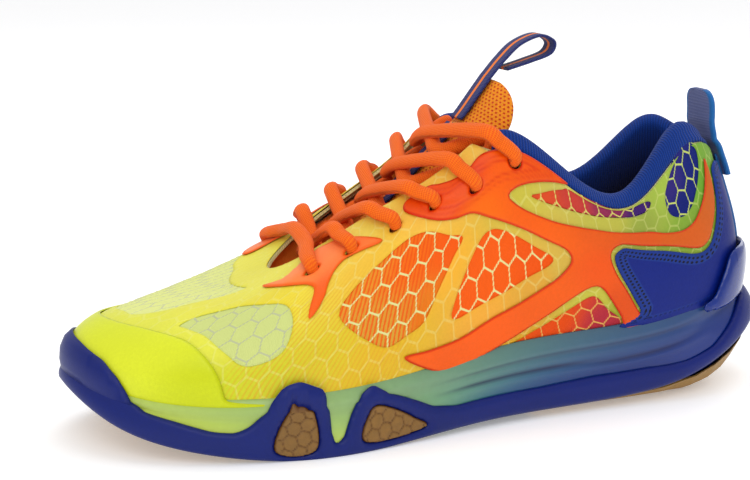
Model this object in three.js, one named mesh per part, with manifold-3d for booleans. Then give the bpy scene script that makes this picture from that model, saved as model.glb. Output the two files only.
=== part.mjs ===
// Court shoe, left foot. Millimetres, +Z up, toe towards -X, lateral side towards -Y.
// Every layer of the shoe is laid over one last: a smooth surface lofted through girth stations.
import * as THREE from 'three';
import { mergeVertices } from 'three/addons/utils/BufferGeometryUtils.js';
import Module from 'manifold-3d';

const wasm = await Module();
wasm.setup();

// ---------------------------------------------------------------- driving dimensions
const shoeLength = 296;        // over the outsole
const ballWidth = 105;         // over the outsole at the ball
const shoeHeight = 117;        // eyestay peak above the ground
const clearance = 0.3;         // left between pieces that touch
const meshThickness = 1.2;     // knitted base of the upper
const filmThickness = 0.5;     // fused film over the mesh
const overlayThickness = 0.6;  // wing, lace strap and collar panel
const capThickness = 0.8;      // toe cap and heel foxing
const wrapThickness = 2.1;     // rubber side wall
const outsoleThickness = 3.5;  // rubber tread
const plateThickness = 2;      // shank plate under the arch
const boardThickness = 1.2;    // strobel board
const sockThickness = 4;       // sockliner
const backingThickness = 0.6;  // eyestay backing, toe puff
const counterThickness = 1.2;  // heel counter
const foamThickness = 6;       // collar padding
const liningThickness = 0.7;   // collar lining
const bondLine = 0.5;          // cement line between tread and midsole
const cradleThickness = 2.4;
const podGap = 0.6;            // round each gum pod in its opening
const bindingRadius = 2.6;     // knitted roll along the collar
const laceRadius = 1.6;
const eyeletRadius = 3.9;
const webbingWidth = 11;
const webbingThickness = 1.2;
const tabWidth = 22;
const tabRise = 21;            // pull tab above the collar's back
const tongueThickness = 3.4;
const tongueArch = 26;         // radius of the tongue across the instep
const heelBed = 22;            // midsole top under the heel
const ballBed = 12.5;          // midsole top under the ball

// The sample last is drawn at these sizes and graded to the ones above.
const sampleLength = 296;
const sampleWidth = 105;
const sampleHeight = 117;
const gradeX = shoeLength / sampleLength;
const gradeY = ballWidth / sampleWidth;
const gradeZ = shoeHeight / sampleHeight;

// Layers, as distances from the face of the knitted base along its normal.
const facetAllowance = 0.15;    // straight cells of neighbouring layers bow apart by this much
const filmIn = clearance + facetAllowance;
const filmOut = filmIn + filmThickness;
const overlayIn = filmOut + clearance + facetAllowance;
const capOut = overlayIn + capThickness;
const overlayOut = overlayIn + overlayThickness;
const midsoleOut = capOut - facetAllowance;
const wrapIn = capOut + clearance + facetAllowance * 2;
const wrapOut = wrapIn + wrapThickness;
const heelStrapIn = capOut + clearance;
const heelStrapOut = heelStrapIn + webbingThickness;
const backingOut = -meshThickness - clearance;
const backingIn = backingOut - backingThickness;
const counterIn = backingOut - counterThickness;
const liningOverCounter = counterIn - clearance;

// ---------------------------------------------------------------- the last
// Girth stations 0 to 19: heel back, along the lateral side, toe tip at 10, back along the medial side.
const stationCount = 20;
// Feather line x y z | top line x y z | start: outward lean, pull | end: direction x y z, pull
const sampleStations = [
  [137, 0, 46, 127, 1, 103, 0.20, 20, 0.22, 0, -0.97, 26],
  [128, -21, 41, 120, -11, 110, 0.20, 24, 0.20, -0.22, -0.95, 28],
  [105, -30, 35, 104, -19, 109, 0.20, 25, 0.05, -0.25, -0.96, 32],
  [76, -32, 31, 80, -28, 88, 0.22, 22, 0, -0.20, -0.98, 20],
  [42, -33, 29, 52, -31, 98, 0.22, 24, 0, -0.22, -0.97, 26],
  [8, -37, 26, 25, -27, 117, 0.25, 28, -0.12, -0.35, -0.93, 32],
  [-28, -45, 22, 2, -22, 103, 0.25, 28, -0.25, -0.60, -0.75, 30],
  [-64, -49, 20, -24, -17, 87, 0.25, 28, -0.35, -0.72, -0.60, 30],
  [-100, -42, 20, -46, -13, 74, 0.25, 28, -0.55, -0.68, -0.48, 32],
  [-129, -22, 23, -60, -6, 65, 0.25, 28, -0.78, -0.38, -0.45, 34],
  [-143, 9, 27, -65, 3, 62, 0.25, 28, -0.90, 0.02, -0.42, 34],
  [-130, 35, 24, -60, 12, 65, 0.25, 28, -0.78, 0.42, -0.45, 34],
  [-102, 47, 21, -46, 19, 74, 0.25, 28, -0.55, 0.70, -0.48, 32],
  [-66, 49, 21, -24, 23, 87, 0.25, 28, -0.35, 0.74, -0.60, 30],
  [-29, 42, 24, 2, 28, 103, 0.25, 28, -0.25, 0.60, -0.75, 30],
  [7, 35, 28, 25, 33, 117, 0.25, 28, -0.12, 0.35, -0.93, 32],
  [42, 31, 31, 52, 34, 98, 0.22, 24, 0, 0.22, -0.97, 26],
  [76, 31, 33, 80, 30, 88, 0.22, 22, 0, 0.20, -0.98, 20],
  [105, 30, 36, 104, 22, 109, 0.20, 25, 0.05, 0.25, -0.96, 32],
  [128, 20, 42, 120, 13, 110, 0.20, 24, 0.20, 0.22, -0.95, 28],
];
// Outline of the sole seen from above and the height of its side wall's lower edge, at the same stations.
const sampleSole = [
  [148, 0, 30], [137, -24, 26], [110, -34, 13], [78, -35.5, 6.4], [42, -37, 5], [7, -41.5, 4.2],
  [-30, -49.5, 2], [-66, -52.5, 1], [-103, -45, 5], [-134, -25, 14], [-148, 9, 24.5],
  [-135, 38, 14], [-105, 51, 5], [-67, 52.5, 1], [-29, 46, 2], [7, 39, 4.2], [42, 35, 5],
  [78, 34.5, 6.4], [110, 33.5, 13], [137, 23, 26],
];

const graded = sampleStations.map((row) => row.map((value, column) => {
  if (column === 0 || column === 3) return value * gradeX;
  if (column === 1 || column === 4) return value * gradeY;
  if (column === 2 || column === 5) return value * gradeZ;
  return value;
}));
const gradedSole = sampleSole.map(([x, y, z]) => [x * gradeX, y * gradeY, z * gradeZ]);

// A smooth closed curve through rows of numbers: a cubic B-spline whose controls are relaxed
// until the curve passes through every row.
function closedSpline(rows) {
  const count = rows.length;
  let controls = rows.map((row) => row.slice());
  for (let pass = 0; pass < 60; pass += 1) {
    controls = rows.map((row, i) => row.map((value, column) => {
      const before = controls[(i + count - 1) % count][column];
      const after = controls[(i + 1) % count][column];
      return (6 * value - before - after) / 4;
    }));
  }
  return (station) => {
    const t = ((station % count) + count) % count;
    const i = Math.floor(t);
    const w = t - i;
    const weights = [
      (1 - w) ** 3 / 6,
      (3 * w ** 3 - 6 * w ** 2 + 4) / 6,
      (-3 * w ** 3 + 3 * w ** 2 + 3 * w + 1) / 6,
      w ** 3 / 6,
    ];
    return rows[0].map((_, column) => weights.reduce(
      (sum, weight, k) => sum + weight * controls[(i + count - 1 + k) % count][column], 0));
  };
}
const lastAt = closedSpline(graded);
const soleAt = closedSpline(gradedSole);

const vec = (x, y, z) => new THREE.Vector3(x, y, z);
const spread = (from, to, count) => Array.from({ length: count + 1 }, (_, i) => from + (to - from) * i / count);

// Outward unit normal, in plan, of a closed curve that runs clockwise seen from above.
function planNormal(curve, station) {
  const step = 0.002;
  const ahead = curve(station + step);
  const behind = curve(station - step);
  return vec(-(ahead[1] - behind[1]), ahead[0] - behind[0], 0).normalize();
}

// The upper: height 0 at the feather line, 1 at the top line, along one Bezier rib.
function upperFace(station, height) {
  const row = lastAt(station);
  const start = vec(row[0], row[1], row[2]);
  const end = vec(row[3], row[4], row[5]);
  const rise = planNormal(lastAt, station).multiplyScalar(row[6]).add(vec(0, 0, 1)).normalize();
  const pull = vec(row[8], row[9], row[10]).normalize();
  const second = start.clone().addScaledVector(rise, row[7]);
  const third = end.clone().addScaledVector(pull, row[11]);
  return new THREE.CubicBezierCurve3(start, second, third, end).getPoint(height);
}

// The side of the whole shoe: 0 to 1 up the sole's wall, then 1 to 2 up the upper.
function flankFace(station, level) {
  if (level > 1) return upperFace(station, level - 1);
  const row = lastAt(station);
  const sole = soleAt(station);
  const outward = planNormal(soleAt, station);
  const foot = vec(sole[0], sole[1], sole[2]).addScaledVector(outward, -wrapOut);
  const feather = vec(row[0], row[1], row[2]);
  const rise = planNormal(lastAt, station).multiplyScalar(row[6]).add(vec(0, 0, 1)).normalize();
  const lift = outward.clone().multiplyScalar(0.35).add(vec(0, 0, 1)).normalize();
  const third = feather.distanceTo(foot) / 3;
  const second = foot.clone().addScaledVector(lift, third);
  const before = feather.clone().addScaledVector(rise, -third);
  return new THREE.CubicBezierCurve3(foot, second, before, feather).getPoint(Math.max(level, 0));
}

// A point of a face moved along the face's outward normal.
function offsetFrom(face, low, high) {
  return (station, height, distance) => {
    const step = 0.002;
    const up = face(station, Math.min(height + step, high)).sub(face(station, Math.max(height - step, low)));
    const along = face(station + step * 4, height).sub(face(station - step * 4, height));
    const normal = up.cross(along).normalize();
    return face(station, height).addScaledVector(normal, distance);
  };
}
const upperAt = offsetFrom(upperFace, 0, 1);
const flankAt = offsetFrom(flankFace, 0, 2);

// Sheets lie on one shared net of flat facets, so that layers stay parallel wherever they are cut.
const gridPerStation = 2.5;
const gridRows = 7;
function faceted(face) {
  return (station, height, distance) => {
    const [x, y] = [station * gridPerStation, height * gridRows];
    const [i, j] = [Math.floor(x + 1e-6), Math.floor(y - 1e-6)];
    const [wx, wy] = [x - i, y - j];
    const corner = (a, b) => face((i + a) / gridPerStation, (j + b) / gridRows, distance);
    const [across, up] = [corner(1, 0), corner(0, 1)];
    const lower = wx + wy <= 1;
    const base = lower ? corner(0, 0) : corner(1, 1);
    const [u, v] = lower ? [wx, wy] : [1 - wy, 1 - wx];
    return base.clone().addScaledVector(across.sub(base), u).addScaledVector(up.sub(base), v);
  };
}
const upperSheet = faceted(upperAt);
const flankSheet = faceted(flankAt);

// ---------------------------------------------------------------- building closed bodies
function geometryFrom(points, triangles) {
  const geometry = new THREE.BufferGeometry();
  geometry.setAttribute('position', new THREE.Float32BufferAttribute(points.flatMap((p) => [p.x, p.y, p.z]), 3));
  geometry.setIndex(triangles);
  const merged = mergeVertices(geometry, 1e-4);
  const index = merged.index.array;
  const kept = [];
  for (let i = 0; i < index.length; i += 3) {
    const [a, b, c] = [index[i], index[i + 1], index[i + 2]];
    if (a !== b && b !== c && c !== a) kept.push(a, b, c);
  }
  merged.setIndex(kept);
  return merged;
}

// Joins a grid of rows (each a loop round the section) into triangles; loops close on themselves.
// From column turnAt on, where a sheet's inner face begins, cells are split the other way, so that
// both faces of a sheet bend along the same lines.
function skin(rows, closeRows, closeColumns, turnAt = Infinity) {
  const across = rows[0].length;
  const points = rows.flat();
  const triangles = [];
  const rowEnd = closeRows ? rows.length : rows.length - 1;
  const columnEnd = closeColumns ? across : across - 1;
  for (let i = 0; i < rowEnd; i += 1) {
    for (let j = 0; j < columnEnd; j += 1) {
      const a = i * across + j;
      const b = i * across + ((j + 1) % across);
      const c = ((i + 1) % rows.length) * across + j;
      const d = ((i + 1) % rows.length) * across + ((j + 1) % across);
      if (j >= turnAt) triangles.push(a, b, d, a, d, c);
      else triangles.push(a, b, c, b, d, c);
    }
  }
  return { points, triangles };
}

function volumeOf(geometry) {
  const p = geometry.attributes.position;
  const index = geometry.index.array;
  const a = new THREE.Vector3();
  const b = new THREE.Vector3();
  const c = new THREE.Vector3();
  let volume = 0;
  for (let i = 0; i < index.length; i += 3) {
    a.fromBufferAttribute(p, index[i]);
    b.fromBufferAttribute(p, index[i + 1]);
    c.fromBufferAttribute(p, index[i + 2]);
    volume += a.dot(b.cross(c)) / 6;
  }
  return volume;
}

// Turns every triangle over when a closed body has come out inside out.
function facingOut(geometry) {
  if (volumeOf(geometry) > 0) return geometry;
  const index = geometry.index.array;
  for (let i = 0; i < index.length; i += 3) [index[i], index[i + 1]] = [index[i + 1], index[i]];
  return geometry;
}

// Heights from low to high. Past the feather line, at level 1, a rubber wall needs closer ones.
const evenly = (low, high, steps) => spread(low, high, steps);
function pastFeather(low, high, steps) {
  const turn = Math.min(high, 1);
  return [...spread(low, turn, steps), ...spread(turn, high, steps + 1).slice(1)];
}

// A ring or strip laid on a face, between two offsets. lo and hi give its edges at each station.
function band(face, stations, lo, hi, steps, inner, outer, closed = true, levels = evenly) {
  const at = (value, s, h) => (typeof value === 'function' ? value(s, h) : value);
  const rows = stations.map((s) => {
    const heights = levels(lo(s), hi(s), steps);
    const out = heights.map((h) => face(s, h, at(outer, s, h)));
    const back = heights.map((h) => face(s, h, at(inner, s, h))).reverse();
    return [...out, ...back];
  });
  const { points, triangles } = skin(rows, closed, true, rows[0].length / 2);
  if (!closed) {
    const across = rows[0].length;
    const last = (rows.length - 1) * across;
    for (let j = 0; j < across / 2 - 1; j += 1) {
      const opposite = across - 1 - j;
      triangles.push(j, opposite, j + 1, opposite, opposite - 1, j + 1);
      triangles.push(last + j, last + j + 1, last + opposite, last + opposite, last + j + 1, last + opposite - 1);
    }
  }
  return facingOut(geometryFrom(points, triangles));
}

const around = (count) => spread(0, stationCount, count).slice(0, -1);

// ---------------------------------------------------------------- cutting and joining
function toSolid(geometry) {
  const bare = geometry.clone();
  bare.deleteAttribute('normal');
  bare.deleteAttribute('uv');
  const merged = mergeVertices(bare, 1e-4);
  return new wasm.Manifold(new wasm.Mesh({
    numProp: 3,
    vertProperties: Float32Array.from(merged.attributes.position.array),
    triVerts: Uint32Array.from(merged.index.array),
  }));
}

function fromSolid(solid) {
  const mesh = solid.getMesh();
  const geometry = new THREE.BufferGeometry();
  geometry.setAttribute('position', new THREE.BufferAttribute(Float32Array.from(mesh.vertProperties), 3));
  geometry.setIndex([...mesh.triVerts]);
  return geometry;
}

const cut = (geometry, tools) => fromSolid(tools.reduce((solid, tool) => solid.subtract(toSolid(tool)), toSolid(geometry)));
const keep = (geometry, tool) => fromSolid(toSolid(geometry).intersect(toSolid(tool)));

// A panel is cut flat, as a clicker die cuts it, and then laid over the last. Its flat pattern is
// nearly full size: x runs round the shoe and y up it, and a slight crown keeps every cell of the
// sheet through the cut.
const patternWidth = 32;
const patternHeight = 90;
const crown = 4e-5;

function outlinePrism(outline, low, high) {
  const shape = new THREE.Shape(outline.map(([s, h]) => new THREE.Vector2(s * patternWidth, h / 100 * patternHeight)));
  const prism = new THREE.ExtrudeGeometry(shape, { depth: high - low, bevelEnabled: false });
  return prism.translate(0, 0, low);
}

function panel(face, outline, holes, inner, outer) {
  const cellX = patternWidth / gridPerStation;
  const cellY = patternHeight / gridRows;
  const [xs, ys] = [outline.map(([s]) => s * patternWidth), outline.map(([, h]) => h / 100 * patternHeight)];
  const [firstX, lastX] = [Math.floor(Math.min(...xs) / cellX - 0.01), Math.ceil(Math.max(...xs) / cellX + 0.01)];
  const [firstY, lastY] = [Math.floor(Math.min(...ys) / cellY - 0.01), Math.ceil(Math.max(...ys) / cellY + 0.01)];
  const midX = (firstX + lastX) / 2 * cellX;
  const bow = (x, y) => crown * ((x - midX) ** 2 + y ** 2 + (x - midX) * y / 2);
  const columns = spread(firstX * cellX, lastX * cellX, lastX - firstX);
  const heights = spread(firstY * cellY, lastY * cellY, lastY - firstY);
  const sheetRows = columns.map((x) => [
    ...heights.map((y) => vec(x, y, outer + bow(x, y))),
    ...heights.map((y) => vec(x, y, inner + bow(x, y))).reverse(),
  ]);
  const { points, triangles } = skin(sheetRows, false, true, sheetRows[0].length / 2);
  const across = sheetRows[0].length;
  const last = (sheetRows.length - 1) * across;
  for (let j = 0; j < heights.length - 1; j += 1) {
    const opposite = across - 1 - j;
    triangles.push(j, opposite, j + 1, opposite, opposite - 1, j + 1);
    triangles.push(last + j, last + j + 1, last + opposite, last + opposite, last + j + 1, last + opposite - 1);
  }
  const sheet = facingOut(geometryFrom(points, triangles));
  const reach = 40;
  let solid = toSolid(sheet).intersect(toSolid(outlinePrism(outline, -reach, reach)));
  holes.forEach((hole) => {
    solid = solid.subtract(toSolid(outlinePrism(hole, -reach, reach)));
  });
  const flat = fromSolid(solid);
  const position = flat.attributes.position;
  const laid = [];
  for (let i = 0; i < position.count; i += 1) {
    const [x, y, z] = [position.getX(i), position.getY(i), position.getZ(i)];
    laid.push(face(x / patternWidth, y / patternHeight, z - bow(x, y)));
  }
  return facingOut(geometryFrom(laid, [...flat.index.array]));
}

const mirrored = (outline) => outline.map(([s, h]) => [stationCount - s, h]).reverse();

// A round hole, sized by how far the last stretches the pattern at that place.
function roundHole([s, h], radius) {
  const corners = 6;
  const step = 0.05;
  const width = upperFace(s + step, h / 100).distanceTo(upperFace(s - step, h / 100)) / (step * 2);
  const height = upperFace(s, h / 100 + step).distanceTo(upperFace(s, h / 100 - step)) / (step * 2);
  return Array.from({ length: corners }, (_, k) => {
    const turn = (k + 0.5) / corners * Math.PI * 2;
    return [s + radius * Math.cos(turn) / width, h + radius * Math.sin(turn) / height * 100];
  });
}

// ---------------------------------------------------------------- the sole's plan
// A line down the middle of the sole, from which every bed and tread is filled.
const spineFrom = 1.6;
const spineTo = 8.4;
function spineAt(station) {
  const folded = Math.min(station, stationCount - station);
  const s = Math.min(Math.max(folded, spineFrom), spineTo);
  const a = lastAt(s);
  const b = lastAt(stationCount - s);
  return vec((a[0] + b[0]) / 2, (a[1] + b[1]) / 2, 0);
}

// A point that lies a distance in from an edge, on the way to the spine.
function inward(edge, station, distance) {
  const middle = spineAt(station);
  const reach = Math.hypot(middle.x - edge.x, middle.y - edge.y);
  const share = Math.min(1, distance / reach);
  return vec(edge.x + (middle.x - edge.x) * share, edge.y + (middle.y - edge.y) * share, edge.z);
}

const smooth = (x, from, to) => THREE.MathUtils.smoothstep(x, from, to);
// Height of the tread above the ground along the shoe: toe spring, arch and heel bevel.
const toeSpringFrom = -92 * gradeX;
const heelBevelFrom = 106 * gradeX;
const toeSpring = 20 * gradeZ;
const heelBevel = 20 * gradeZ;
const archLift = 2.2;
function treadHeight(x) {
  const toe = Math.max(0, (toeSpringFrom - x) / (56 * gradeX)) ** 2 * toeSpring;
  const heel = Math.max(0, (x - heelBevelFrom) / (42 * gradeX)) ** 2 * heelBevel;
  const arch = smooth(x, -34 * gradeX, -10 * gradeX) * (1 - smooth(x, 30 * gradeX, 50 * gradeX)) * archLift;
  return toe + heel + arch;
}
const edgeRound = 13;
function treadPoint(station, distance) {
  const sole = soleAt(station);
  const p = inward(vec(sole[0], sole[1], 0), station, distance);
  const lift = Math.max(0, 1 - distance / edgeRound) ** 2;
  p.z = treadHeight(p.x) + Math.max(0, sole[2] - treadHeight(sole[0])) * lift;
  return p;
}
function bedHeight(x) {
  const heelToBall = 1 - smooth(x, -60 * gradeX, 90 * gradeX);
  return heelBed + (ballBed - heelBed) * heelToBall + treadHeight(Math.min(x, 0)) * 0.85;
}

// A body that fills the sole's plan: rows run from the spine out to the edge below and back above.
function footBody(rowsAt) {
  const rows = soleStations.map((s) => rowsAt(s));
  const { points, triangles } = skin(rows, true, false);
  return facingOut(geometryFrom(points, triangles));
}

function boxBetween(low, high) {
  const box = new THREE.BoxGeometry(high.x - low.x, high.y - low.y, high.z - low.z);
  return box.translate((low.x + high.x) / 2, (low.y + high.y) / 2, (low.z + high.z) / 2);
}
const wide = 200;
const slice = (from, to) => boxBetween(vec(from, -wide, -wide), vec(to, wide, wide));
const forefootEnd = -14 * gradeX;
const heelTreadStart = 34 * gradeX;

const far = 1000;
// Stations of the sole's rings: close together round the heel and toe, where the plan turns.
const soleStations = [
  ...spread(0, 2, 6), ...spread(2.5, 8, 11), ...spread(8.25, 11.75, 14), ...spread(12, 17.5, 11),
  ...spread(18, 20 - 1 / 3, 5),
];
const treadEdge = wrapThickness + clearance;
const treadSteps = [far, 26, edgeRound, 7, treadEdge];

function outsoleBody() {
  return footBody((s) => {
    const below = treadSteps.map((d) => treadPoint(s, d));
    const above = below.map((p) => p.clone().setZ(p.z + outsoleThickness)).reverse();
    below[below.length - 1].z = Math.max(0, below[below.length - 1].z - 0.6);
    above[0] = treadPoint(s, treadEdge + 0.6);
    above[0].z += 0.6;
    return [...below, ...above];
  });
}

function shankPlate() {
  const body = footBody((s) => {
    const steps = treadSteps.slice(0, 4);
    const below = steps.map((d) => {
      const p = treadPoint(s, d);
      return p.setZ(p.z + outsoleThickness - plateThickness);
    });
    const above = below.map((p) => p.clone().setZ(p.z + plateThickness)).reverse();
    return [...below, ...above];
  });
  return keep(body, slice(forefootEnd + clearance, heelTreadStart - clearance));
}

// Inner edge of the midsole's cup, and the beds that lie in it.
const cupWall = 3.2;
function cupPoint(station, distance, height) {
  const row = lastAt(station);
  const p = inward(vec(row[0], row[1], 0), station, distance);
  p.z = bedHeight(p.x) + height;
  return p;
}

function midsoleBody() {
  const lip = clearance + 0.1;
  return footBody((s) => {
    const below = treadSteps.slice(0, 4).map((d) => {
      const p = treadPoint(s, d);
      return p.setZ(p.z + outsoleThickness + bondLine);
    });
    const side = spread(0.14, 1, 5).map((v) => flankAt(s, v, midsoleOut));
    side[side.length - 1].z -= lip;
    const rimIn = flankAt(s, 1, backingIn - 0.6);
    rimIn.z -= lip;
    const bed = [cupWall + 3, 26, far].map((d) => cupPoint(s, d, 0));
    return [...below, ...side, rimIn, ...bed];
  });
}

function bedLayer(inset, low, high) {
  return footBody((s) => {
    const below = [far, 26, inset].map((d) => cupPoint(s, d, low));
    const above = [inset, 26, far].map((d) => cupPoint(s, d, high));
    return [...below, ...above];
  });
}

// ---------------------------------------------------------------- the side wall's outline
// Top edge of the rubber wall as [station, level]: two humps over the lateral ball, a toe bumper,
// one hump over the medial ball and a cup round the heel.
const wrapTop = [
  [0, 0.66], [0.7, 0.62], [1.05, 0.53], [1.36, 0.37], [1.75, 0.22], [2.2, 0.23], [2.8, 0.33], [3.5, 0.36],
  [4.2, 0.33], [5.3, 0.35], [5.6, 0.46], [5.95, 0.8], [6.15, 1.0], [6.39, 1.07], [6.52, 1.03], [6.58, 0.9],
  [6.65, 0.22], [6.8, 0.22], [6.83, 0.93], [6.9, 1.08], [7.2, 1.14], [7.36, 1.12], [7.5, 1.0], [7.65, 0.63],
  [7.78, 0.48], [8.0, 0.47], [8.4, 0.6], [8.75, 0.66], [8.9, 1.02], [9.06, 1.1], [9.3, 1.16], [9.75, 1.19],
  [10.2, 1.2], [10.7, 1.17], [11.1, 1.04], [11.4, 0.7], [12.2, 0.5], [12.7, 0.55], [12.95, 0.98], [13.3, 1.06],
  [13.65, 1.0], [13.95, 0.5], [15, 0.36], [17, 0.34], [18.2, 0.24], [18.65, 0.38], [18.95, 0.53], [19.3, 0.62],
];
function levelOn(profile, station) {
  const s = ((station % stationCount) + stationCount) % stationCount;
  const closedProfile = [...profile, [stationCount, profile[0][1]]];
  const next = closedProfile.findIndex(([at]) => at >= s);
  if (next <= 0) return closedProfile[0][1];
  const [a, b] = [closedProfile[next - 1], closedProfile[next]];
  return a[1] + (b[1] - a[1]) * (s - a[0]) / (b[0] - a[0]);
}
const wrapBottom = 0.06;
// Openings in the wall that the tread's gum shows through, [station, percent of level].
const lateralFrontOpening = [[7.38, 14], [7.28, 96], [7.17, 102], [7.06, 99], [7.0, 85], [6.95, 14]];
const lateralRearOpening = [[6.4, 14], [6.39, 66], [6.3, 80], [6.1, 65], [5.84, 38], [5.68, 14]];
const medialOpening = [[12.98, 14], [13.05, 82], [13.25, 92], [13.45, 82], [13.6, 14]];
const openings = [lateralFrontOpening, lateralRearOpening, medialOpening];

// The same outline with every edge moved inwards; percentToWall turns a level into millimetres.
const percentToWall = 0.2;
function inset(outline, distance) {
  const flat = outline.map(([s, h]) => new THREE.Vector2(s * patternWidth, h * percentToWall));
  const turn = Math.sign(THREE.ShapeUtils.area(flat));
  return flat.map((corner, i) => {
    const before = flat[(i + flat.length - 1) % flat.length];
    const after = flat[(i + 1) % flat.length];
    const arriving = corner.clone().sub(before).normalize();
    const leaving = after.clone().sub(corner).normalize();
    const inwardA = new THREE.Vector2(-arriving.y, arriving.x).multiplyScalar(turn);
    const inwardB = new THREE.Vector2(-leaving.y, leaving.x).multiplyScalar(turn);
    const middle = inwardA.clone().add(inwardB).normalize();
    const moved = corner.clone().addScaledVector(middle, distance / middle.dot(inwardA));
    return [moved.x / patternWidth, moved.y / percentToWall];
  });
}

function soleWrap() {
  const stations = [...new Set([...soleStations, ...wrapTop.map(([s]) => s)])].sort((a, b) => a - b);
  const wall = band(flankAt, stations, () => wrapBottom, (s) => levelOn(wrapTop, s), 2, wrapIn, wrapOut, true, pastFeather);
  const cutters = openings.map((outline) => panel(flankSheet, outline, [], wrapIn - 1.2, wrapOut + 2));
  return cut(wall, cutters);
}

// ---------------------------------------------------------------- outlines on the upper
// All as [station, height in percent of the rib].
const toeWindow = [
  [9.0, 49], [8.95, 58], [8.6, 64], [8.2, 62], [7.85, 58], [7.6, 48], [7.48, 36], [7.52, 27],
  [7.8, 23], [8.1, 31], [8.5, 42], [8.85, 47],
];
const vampWindow = [
  [10.1, 45], [10.6, 40], [11.2, 38], [11.8, 41], [12.3, 49], [12.4, 60], [12.1, 70], [11.4, 78],
  [10.8, 84], [9.4, 84], [9.2, 80], [9.5, 68], [9.6, 56], [9.8, 47],
];
const midWindow = [
  [7.04, 45], [7.03, 53], [6.88, 62], [6.62, 70], [6.4, 73], [6.14, 71], [5.8, 64], [5.57, 60],
  [5.66, 53], [5.78, 40], [5.86, 29], [6.05, 25], [6.28, 22], [6.6, 29], [6.9, 38],
];
const arrowWindow = [
  [5.5, 28], [5.44, 42], [5.3, 55], [5.15, 59], [4.9, 58], [4.5, 54], [4.22, 51], [4.25, 46],
  [4.5, 39], [4.8, 32], [5.2, 27], [5.4, 25],
];
const archWindow = [[4.9, 3], [4.6, 5], [4.15, 13], [3.85, 21], [3.62, 28], [3.5, 28], [3.35, 20], [3.16, 3]];
const collarWindow = [
  [4.63, 75], [4.5, 78], [4.2, 86], [4.02, 89], [3.1, 89], [2.8, 87], [2.68, 83], [2.8, 80],
  [3.3, 84], [3.7, 82], [4.1, 78], [4.45, 75],
];
const heelWindow = [
  [1.7, 90], [1.95, 90], [2.2, 88], [2.36, 82], [2.4, 76], [2.32, 66], [2.1, 60], [1.9, 62],
  [1.72, 70], [1.58, 79], [1.55, 87],
];
const medialWindow = [[14.3, 40], [14.1, 62], [14.2, 78], [14.8, 82], [15.4, 70], [15.6, 50], [15.2, 33], [14.7, 29]];
const windows = [
  toeWindow, vampWindow, midWindow, arrowWindow, archWindow, collarWindow, heelWindow,
  medialWindow, mirrored(collarWindow), mirrored(heelWindow),
];
const filmOutline = [
  [0.12, 2], [0.12, 90], [5.25, 90], [5.6, 100], [14.4, 100], [14.75, 90], [19.88, 90], [19.88, 2],
];
const toeCapOutline = [
  [7.85, 2], [7.9, 6], [8.02, 17], [8.26, 28], [8.66, 38], [9.2, 41], [9.8, 38], [10.5, 34], [11.2, 33],
  [11.8, 32], [12.3, 31], [12.7, 36], [13.1, 50], [13.5, 64], [13.8, 64], [14.0, 45], [14.3, 20], [14.6, 2],
];
const wingOutline = [
  [5.45, 91.5], [5.1, 91], [4.6, 91], [4.17, 91], [4.14, 90], [4.3, 87], [4.6, 81], [4.85, 76],
  [4.95, 72.5], [4.87, 70], [4.65, 68], [4.3, 68.5], [3.9, 72], [3.6, 74], [3.2, 73], [2.8, 67],
  [2.45, 58], [2.14, 53], [1.91, 54], [1.73, 60], [1.59, 67], [1.48, 76], [1.42, 82], [1.36, 78],
  [1.34, 68], [1.39, 58], [1.52, 47], [1.68, 39], [1.94, 39], [2.56, 52], [3.09, 63], [3.3, 64],
  [3.4, 58], [3.3, 46], [3.1, 31], [2.89, 14], [2.74, 2], [3.02, 2], [3.14, 13], [3.33, 27],
  [3.45, 34], [3.56, 36], [3.72, 33], [4.11, 20], [4.49, 11], [4.87, 5], [5.2, 2], [5.45, 2],
  [5.66, 5], [6.03, 15], [5.7, 15], [5.32, 16], [4.95, 21], [4.56, 27], [4.2, 37], [4.03, 45],
  [3.97, 52], [4.08, 57], [4.4, 58.5], [4.89, 61], [5.2, 64], [5.5, 68.5], [5.76, 70], [6.05, 74],
  [6.4, 82], [6.62, 89], [6.6, 94], [6.3, 95], [6.1, 92], [5.85, 89], [5.64, 89],
];
const laceStrapOutline = [
  [8.66, 79], [8.34, 80], [8.28, 86], [8.15, 94], [7.9, 95], [7.54, 92], [7.15, 85], [6.84, 77.5],
  [7.15, 77], [7.34, 76], [7.41, 71], [7.39, 63], [7.34, 56], [7.34, 48], [7.38, 45], [7.44, 50],
  [7.55, 62], [7.71, 67], [7.94, 70], [8.3, 74],
];
const medialStrapOutline = [
  [11.6, 82], [11.8, 90], [11.9, 95], [12.4, 94], [13.0, 88], [13.3, 82], [12.9, 75], [12.3, 71], [11.8, 75],
];
const medialPanelOutline = [
  [13.5, 84], [13.5, 92], [14.1, 91], [14.4, 88], [14.7, 90], [15.6, 91], [16.0, 88], [16.1, 80], [15.9, 68],
  [15.6, 62], [15.45, 74], [14.9, 85.5], [14.2, 82],
];
const foxingHalf = [
  [2.7, 2], [2.84, 13], [3.05, 30], [3.25, 46], [3.33, 56], [3.24, 61], [3.08, 60], [2.56, 49], [1.96, 36],
  [1.66, 36], [1.47, 45], [1.34, 57], [1.28, 68], [1.2, 77], [0.7, 82],
];
const foxingOutline = [...foxingHalf, ...foxingHalf.map(([s, h]) => [-s, h]).reverse()];
const lateralEyelets = [[7.82, 77], [7.3, 80.5], [6.71, 83], [6.14, 83], [5.49, 79], [4.9, 86]];
const medialEyelets = lateralEyelets.map(([s, h]) => [stationCount - s, h]);
const eyelets = [...lateralEyelets, ...medialEyelets];
const eyeletHoles = eyelets.map((at) => roundHole(at, eyeletRadius));
const backingOutline = [
  [8.35, 72], [8.3, 94], [7.4, 95], [6.4, 95], [5.75, 95], [5.65, 85.5], [5.15, 85.5],
  [5.0, 90.5], [4.75, 90.5], [4.62, 84], [5.2, 70],
  [6.1, 72], [6.9, 73], [7.6, 69],
];

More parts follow.
